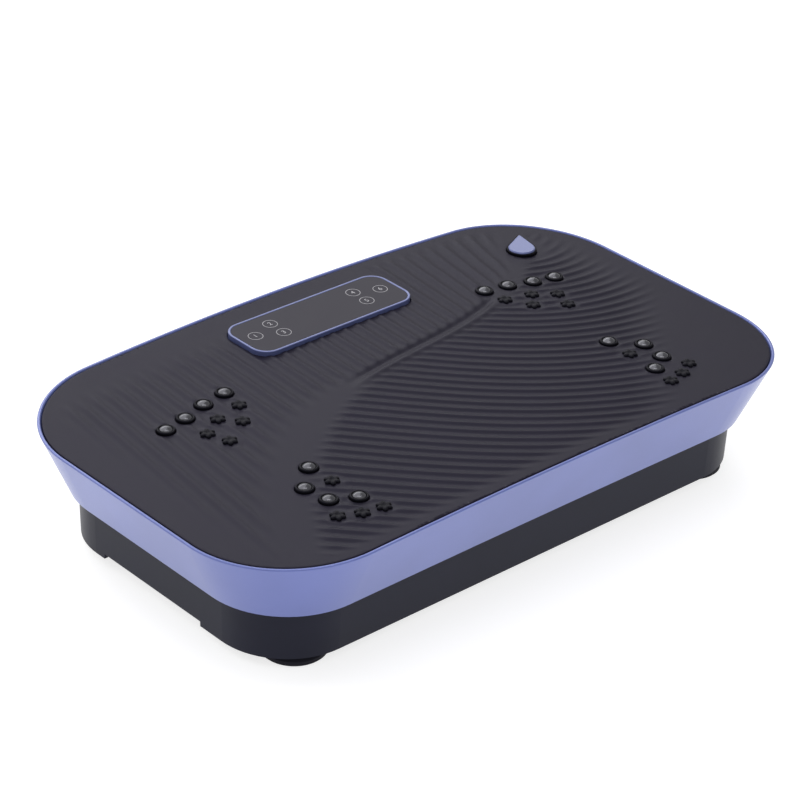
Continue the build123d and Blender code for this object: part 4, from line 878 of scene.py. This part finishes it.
class PLATE_OT_grip_studs(bpy.types.Operator):
    """Builds the small flower-shaped studs with their dimples"""

    bl_idname = "plate.grip_studs"
    bl_label = "Grip Studs"

    RINGS = [0.0, 0.12, 0.24, 0.36, 0.5, 0.64, 0.78, 0.88, 0.95, 0.985, 1.0]
    SEGMENTS = 60
    SHOULDER = 0.3  # where a petal's wall ends, as a share of the stud's height
    DIMPLE_REACH = 0.55  # as a share of the stud's radius
    CREASE = 0.35  # depth of the creases between petals, as a share of the dimple's

    def execute(self, context):
        sizes = context.scene.plate_trim
        studs = [self.stud(sizes, box) for box in islands("grip_studs")]
        if not studs:
            raise RuntimeError("the frame has no grip studs")
        piece = new_piece("flower_studs", *gather(studs), "stud_rubber")
        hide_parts("grip_studs")
        return {"FINISHED"}

    def stud(self, sizes, box):
        """Points and faces of one stud: its face in rings from the dimple out, its wall and its foot."""
        low, high = box
        reach = (high.x - low.x) / 2
        core = reach - sizes.lobe_radius
        middle = centre(box)
        base, height = low.z, high.z - low.z
        points = [Vector((middle.x, middle.y, high.z - sizes.dimple))]
        faces = []
        for ring in self.RINGS[1:]:
            for k in range(self.SEGMENTS):
                turn = 2 * pi * k / self.SEGMENTS
                radius = ring * self.outline(sizes, core, turn)
                petal = 0.5 + 0.5 * cos(sizes.lobes * turn)
                edge = (1 - ring**7) ** 0.5
                dip = sizes.dimple * (1 - min(1, ring / self.DIMPLE_REACH) ** 2) ** 2
                crease = self.CREASE * sizes.dimple * (1 - petal) * ring * edge
                x, y = middle.x + radius * cos(turn), middle.y + radius * sin(turn)
                wall = self.SHOULDER + (1 - self.SHOULDER) * edge
                points.append(Vector((x, y, base + height * wall - dip - crease)))
        rows = len(self.RINGS) - 1
        for k in range(self.SEGMENTS):
            points.append(Vector((*points[1 + (rows - 1) * self.SEGMENTS + k].xy, base)))
        rows += 1
        for k in range(self.SEGMENTS):
            after = (k + 1) % self.SEGMENTS
            faces.append([0, 1 + k, 1 + after])
            for row in range(rows - 1):
                inner, outer = 1 + row * self.SEGMENTS, 1 + (row + 1) * self.SEGMENTS
                faces.append([inner + k, outer + k, outer + after, inner + after])
        faces.append([1 + (rows - 1) * self.SEGMENTS + k for k in reversed(range(self.SEGMENTS))])
        return points, faces

    @staticmethod
    def outline(sizes, core, turn):
        """Distance from the middle to the flower's edge in a direction."""
        step = 2 * pi / sizes.lobes
        off = (turn + step / 2) % step - step / 2
        across = core * sin(off)
        lobe = core * cos(off) + max(0.0, sizes.lobe_radius**2 - across**2) ** 0.5
        return max(core, lobe)


class PLATE_OT_cap_lip(bpy.types.Operator):
    """Builds a dark rubber rim around the corner cap that covers its side wall; the rim is painted shade,
    standing in for the shade on that wall
    """

    bl_idname = "plate.cap_lip"
    bl_label = "Cap Shade Rim"

    LEVEL_FIT = 0.02 * MM  # how far a point may lie from the top of the wall
    GAP = 0.06 * MM  # between the cap and the dark rim of painted shade
    STEP = 0.6 * MM  # between points along the outline

    def execute(self, context):
        sizes = context.scene.plate_trim
        low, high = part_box("corner_cap")
        top = high.z - sizes.cap_bevel  # of the cap's upright wall
        wall = {(p.x, p.y) for p in welded("corner_cap")[0] if abs(p.z - top) < self.LEVEL_FIT}
        if len(wall) < 12:
            raise RuntimeError("the corner cap's outline could not be read")
        middle, ahead = centre((low, high)).xy, Vector((1, 0))
        loop = np.array(sorted(wall, key=lambda p: (Vector(p) - middle).angle_signed(ahead, 0.0)))
        area = np.sum(loop[:, 0] * np.roll(loop[:, 1], -1) - loop[:, 1] * np.roll(loop[:, 0], -1))
        loop = evenly(loop if area < 0 else loop[::-1], self.STEP)
        half = sizes.lip_width / 2
        crown = high.z - sizes.lip_drop
        section = [(self.GAP + half + across, crown - half + up) for across, up in bend(half, 8, 180, 0)]
        section += [(self.GAP + sizes.lip_width, low.z), (self.GAP, low.z)]
        rings = [inward(loop, across) for across, level in section]
        points = [(x, y, level) for ring, (across, level) in zip(rings, section) for x, y in ring]
        count, rows = len(loop), len(section)
        faces = []
        for row in range(rows):
            for k in range(count):
                after, here, under = (k + 1) % count, row * count, (row + 1) % rows * count
                faces.append([here + k, here + after, under + after, under + k])
        # Dark rubber put where the cap's side wall lies in shade: painted shade.
        new_piece("cap_lip", points, faces, "stud_rubber")
        return {"FINISHED"}


class PLATE_OT_key_marks(bpy.types.Operator):
    """Prints a ring and a plain number over each touch key"""

    bl_idname = "plate.key_marks"
    bl_label = "Key Marks"

    SKIN = 0.04 * MM  # thickness of the ink

    def execute(self, context):
        sizes = context.scene.plate_trim
        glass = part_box("panel_glass")[1].z
        ink = key_print("key_print", colours().print)
        pads = [centre(box) for box in islands("key_pads")]
        pads.sort(key=lambda pad: (round(pad.x, 3), -pad.y))
        if len(pads) != 6:
            raise RuntimeError("the panel has six touch keys")
        rings = []
        for number, pad in enumerate(pads, 1):
            middle = Vector((pad.x, pad.y, glass))
            inner, outer = sizes.key_radius - sizes.key_line, sizes.key_radius
            profile = [(inner, 0), (outer, 0), (outer, self.SKIN), (inner, self.SKIN), (inner, 0)]
            rings.append(lathe(profile, middle, 64))
            self.figure(number, middle + Vector((0, 0, self.SKIN / 2)), sizes.key_figure, ink)
        piece = new_piece("key_rings", *gather(rings), "panel_glass", smooth=False)
        piece.data.materials[0] = ink
        return {"FINISHED"}

    def figure(self, number, place, height, ink):
        """A plain number, as a curve that lies on the glass."""
        text = bpy.data.curves.new(f"key_figure_{number}", "FONT")
        text.body = str(number)
        text.size = height
        text.align_x = "CENTER"
        text.align_y = "CENTER"
        text.extrude = self.SKIN / 2
        text.materials.append(ink)
        figure = bpy.data.objects.new(f"key_figure_{number}", text)
        figure.location = place
        bpy.context.scene.collection.objects.link(figure)
        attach(figure, "deck")


class PLATE_OT_studio(bpy.types.Operator):
    """Sets up the floor, the lights and the camera"""

    bl_idname = "plate.studio"
    bl_label = "Studio"

    SKY = 0.55  # strength of the white surroundings
    DECK = (0, 0, 0.09)  # where the softboxes point

    def execute(self, context):
        studio = context.scene.plate_studio
        self.floor(studio)
        self.world()
        self.sun("rear_sky", source=(-0.05, 0.85, 1.0), spread=75, strength=1.25)
        self.softbox("rear_softbox", place=(0.8, 1.85, 1.25), size=(2.4, 0.7), power=9)
        self.softbox("top_softbox", place=(-0.2, -0.3, 2.2), size=(1.6, 0.4), power=7)
        self.camera(studio)
        context.scene.view_settings.view_transform = "Standard"
        return {"FINISHED"}

    @staticmethod
    def floor(studio):
        """White floor that glows a little, so that shadows on it stay faint."""
        half = studio.floor_size / 2
        corners = [(-half, -half, 0), (half, -half, 0), (half, half, 0), (-half, half, 0)]
        mesh = bpy.data.meshes.new("studio_floor")
        mesh.from_pydata(corners, [], [(0, 1, 2, 3)])
        graph = Graph("studio_floor")
        graph.set(Base_Color=(0.5, 0.5, 0.5), Roughness=0.9)
        graph.set(Emission_Color=(1, 1, 1), Emission_Strength=0.75)
        mesh.materials.append(graph.material)
        floor = bpy.data.objects.new("studio_floor", mesh)
        bpy.context.scene.collection.objects.link(floor)

    def world(self):
        """Even white surroundings."""
        world = bpy.data.worlds.new("studio_world")
        world.use_nodes = True
        background = world.node_tree.nodes["Background"]
        background.inputs["Color"].default_value = (1.0, 1.0, 1.0, 1.0)
        background.inputs["Strength"].default_value = self.SKY
        bpy.context.scene.world = world

    @staticmethod
    def sun(name, source, spread, strength):
        """Even light from a wide round patch of sky; its spread is in degrees."""
        lamp = bpy.data.lights.new(name, "SUN")
        lamp.angle = radians(spread)
        lamp.energy = strength
        holder = bpy.data.objects.new(name, lamp)
        holder.rotation_euler = (-Vector(source)).to_track_quat("-Z", "Y").to_euler()
        bpy.context.scene.collection.objects.link(holder)

    def softbox(self, name, place, size, power):
        """Rectangular light that points at the deck, with a power in watts."""
        lamp = bpy.data.lights.new(name, "AREA")
        lamp.shape = "RECTANGLE"
        lamp.size, lamp.size_y = size
        lamp.energy = power
        holder = bpy.data.objects.new(name, lamp)
        holder.location = place
        holder.rotation_euler = (Vector(self.DECK) - Vector(place)).to_track_quat("-Z", "Y").to_euler()
        bpy.context.scene.collection.objects.link(holder)

    @staticmethod
    def camera(studio):
        """Camera on a sphere around its target."""
        lens = bpy.data.cameras.new("studio_camera")
        lens.lens = studio.lens
        lens.sensor_width = 36
        lens.clip_end = 50
        turn = Matrix.Rotation(studio.azimuth, 4, "Z")
        lift = Matrix.Rotation(pi / 2 - studio.elevation, 4, "X")
        roll = Matrix.Rotation(studio.roll, 4, "Z")
        camera = bpy.data.objects.new("studio_camera", lens)
        aim = Matrix.Translation(Vector(studio.target)) @ turn @ lift @ roll
        camera.matrix_world = aim @ Matrix.Translation((0, 0, studio.distance))
        bpy.context.scene.collection.objects.link(camera)
        bpy.context.scene.camera = camera


class PLATE_PT_panel(bpy.types.Panel):
    """Lists the plate's pieces and settings"""

    bl_idname = "PLATE_PT_panel"
    bl_label = "Vibration Plate"
    bl_space_type = "VIEW_3D"
    bl_region_type = "UI"
    bl_category = "Plate"

    def draw(self, context):
        for operator in OPERATORS:
            self.layout.operator(operator.bl_idname)
        for group in SETTINGS:
            settings = getattr(context.scene, group)
            for name in settings.bl_rna.properties.keys():
                if name not in ("rna_type", "name"):
                    self.layout.prop(settings, name)


SETTINGS = {
    "plate_mat": MatSizes,
    "plate_trim": TrimSizes,
    "plate_colours": Colours,
    "plate_studio": Studio,
}
OPERATORS = [
    PLATE_OT_finishes,
    PLATE_OT_ribbed_mat,
    PLATE_OT_massage_domes,
    PLATE_OT_dome_collars,
    PLATE_OT_grip_studs,
    PLATE_OT_cap_lip,
    PLATE_OT_key_marks,
    PLATE_OT_studio,
]


def register():
    """Adds the settings, the operators and the panel."""
    for group in SETTINGS.values():
        bpy.utils.register_class(group)
    for name, group in SETTINGS.items():
        setattr(bpy.types.Scene, name, PointerProperty(type=group))
    for operator in OPERATORS:
        bpy.utils.register_class(operator)
    bpy.utils.register_class(PLATE_PT_panel)


def unregister():
    """Takes them away again."""
    bpy.utils.unregister_class(PLATE_PT_panel)
    for operator in reversed(OPERATORS):
        bpy.utils.unregister_class(operator)
    for name, group in SETTINGS.items():
        delattr(bpy.types.Scene, name)
        bpy.utils.unregister_class(group)


def main():
    """Builds every piece in order."""
    register()
    for operator in OPERATORS:
        family, name = operator.bl_idname.split(".")
        getattr(getattr(bpy.ops, family), name)()


if __name__ == "__main__":
    main()
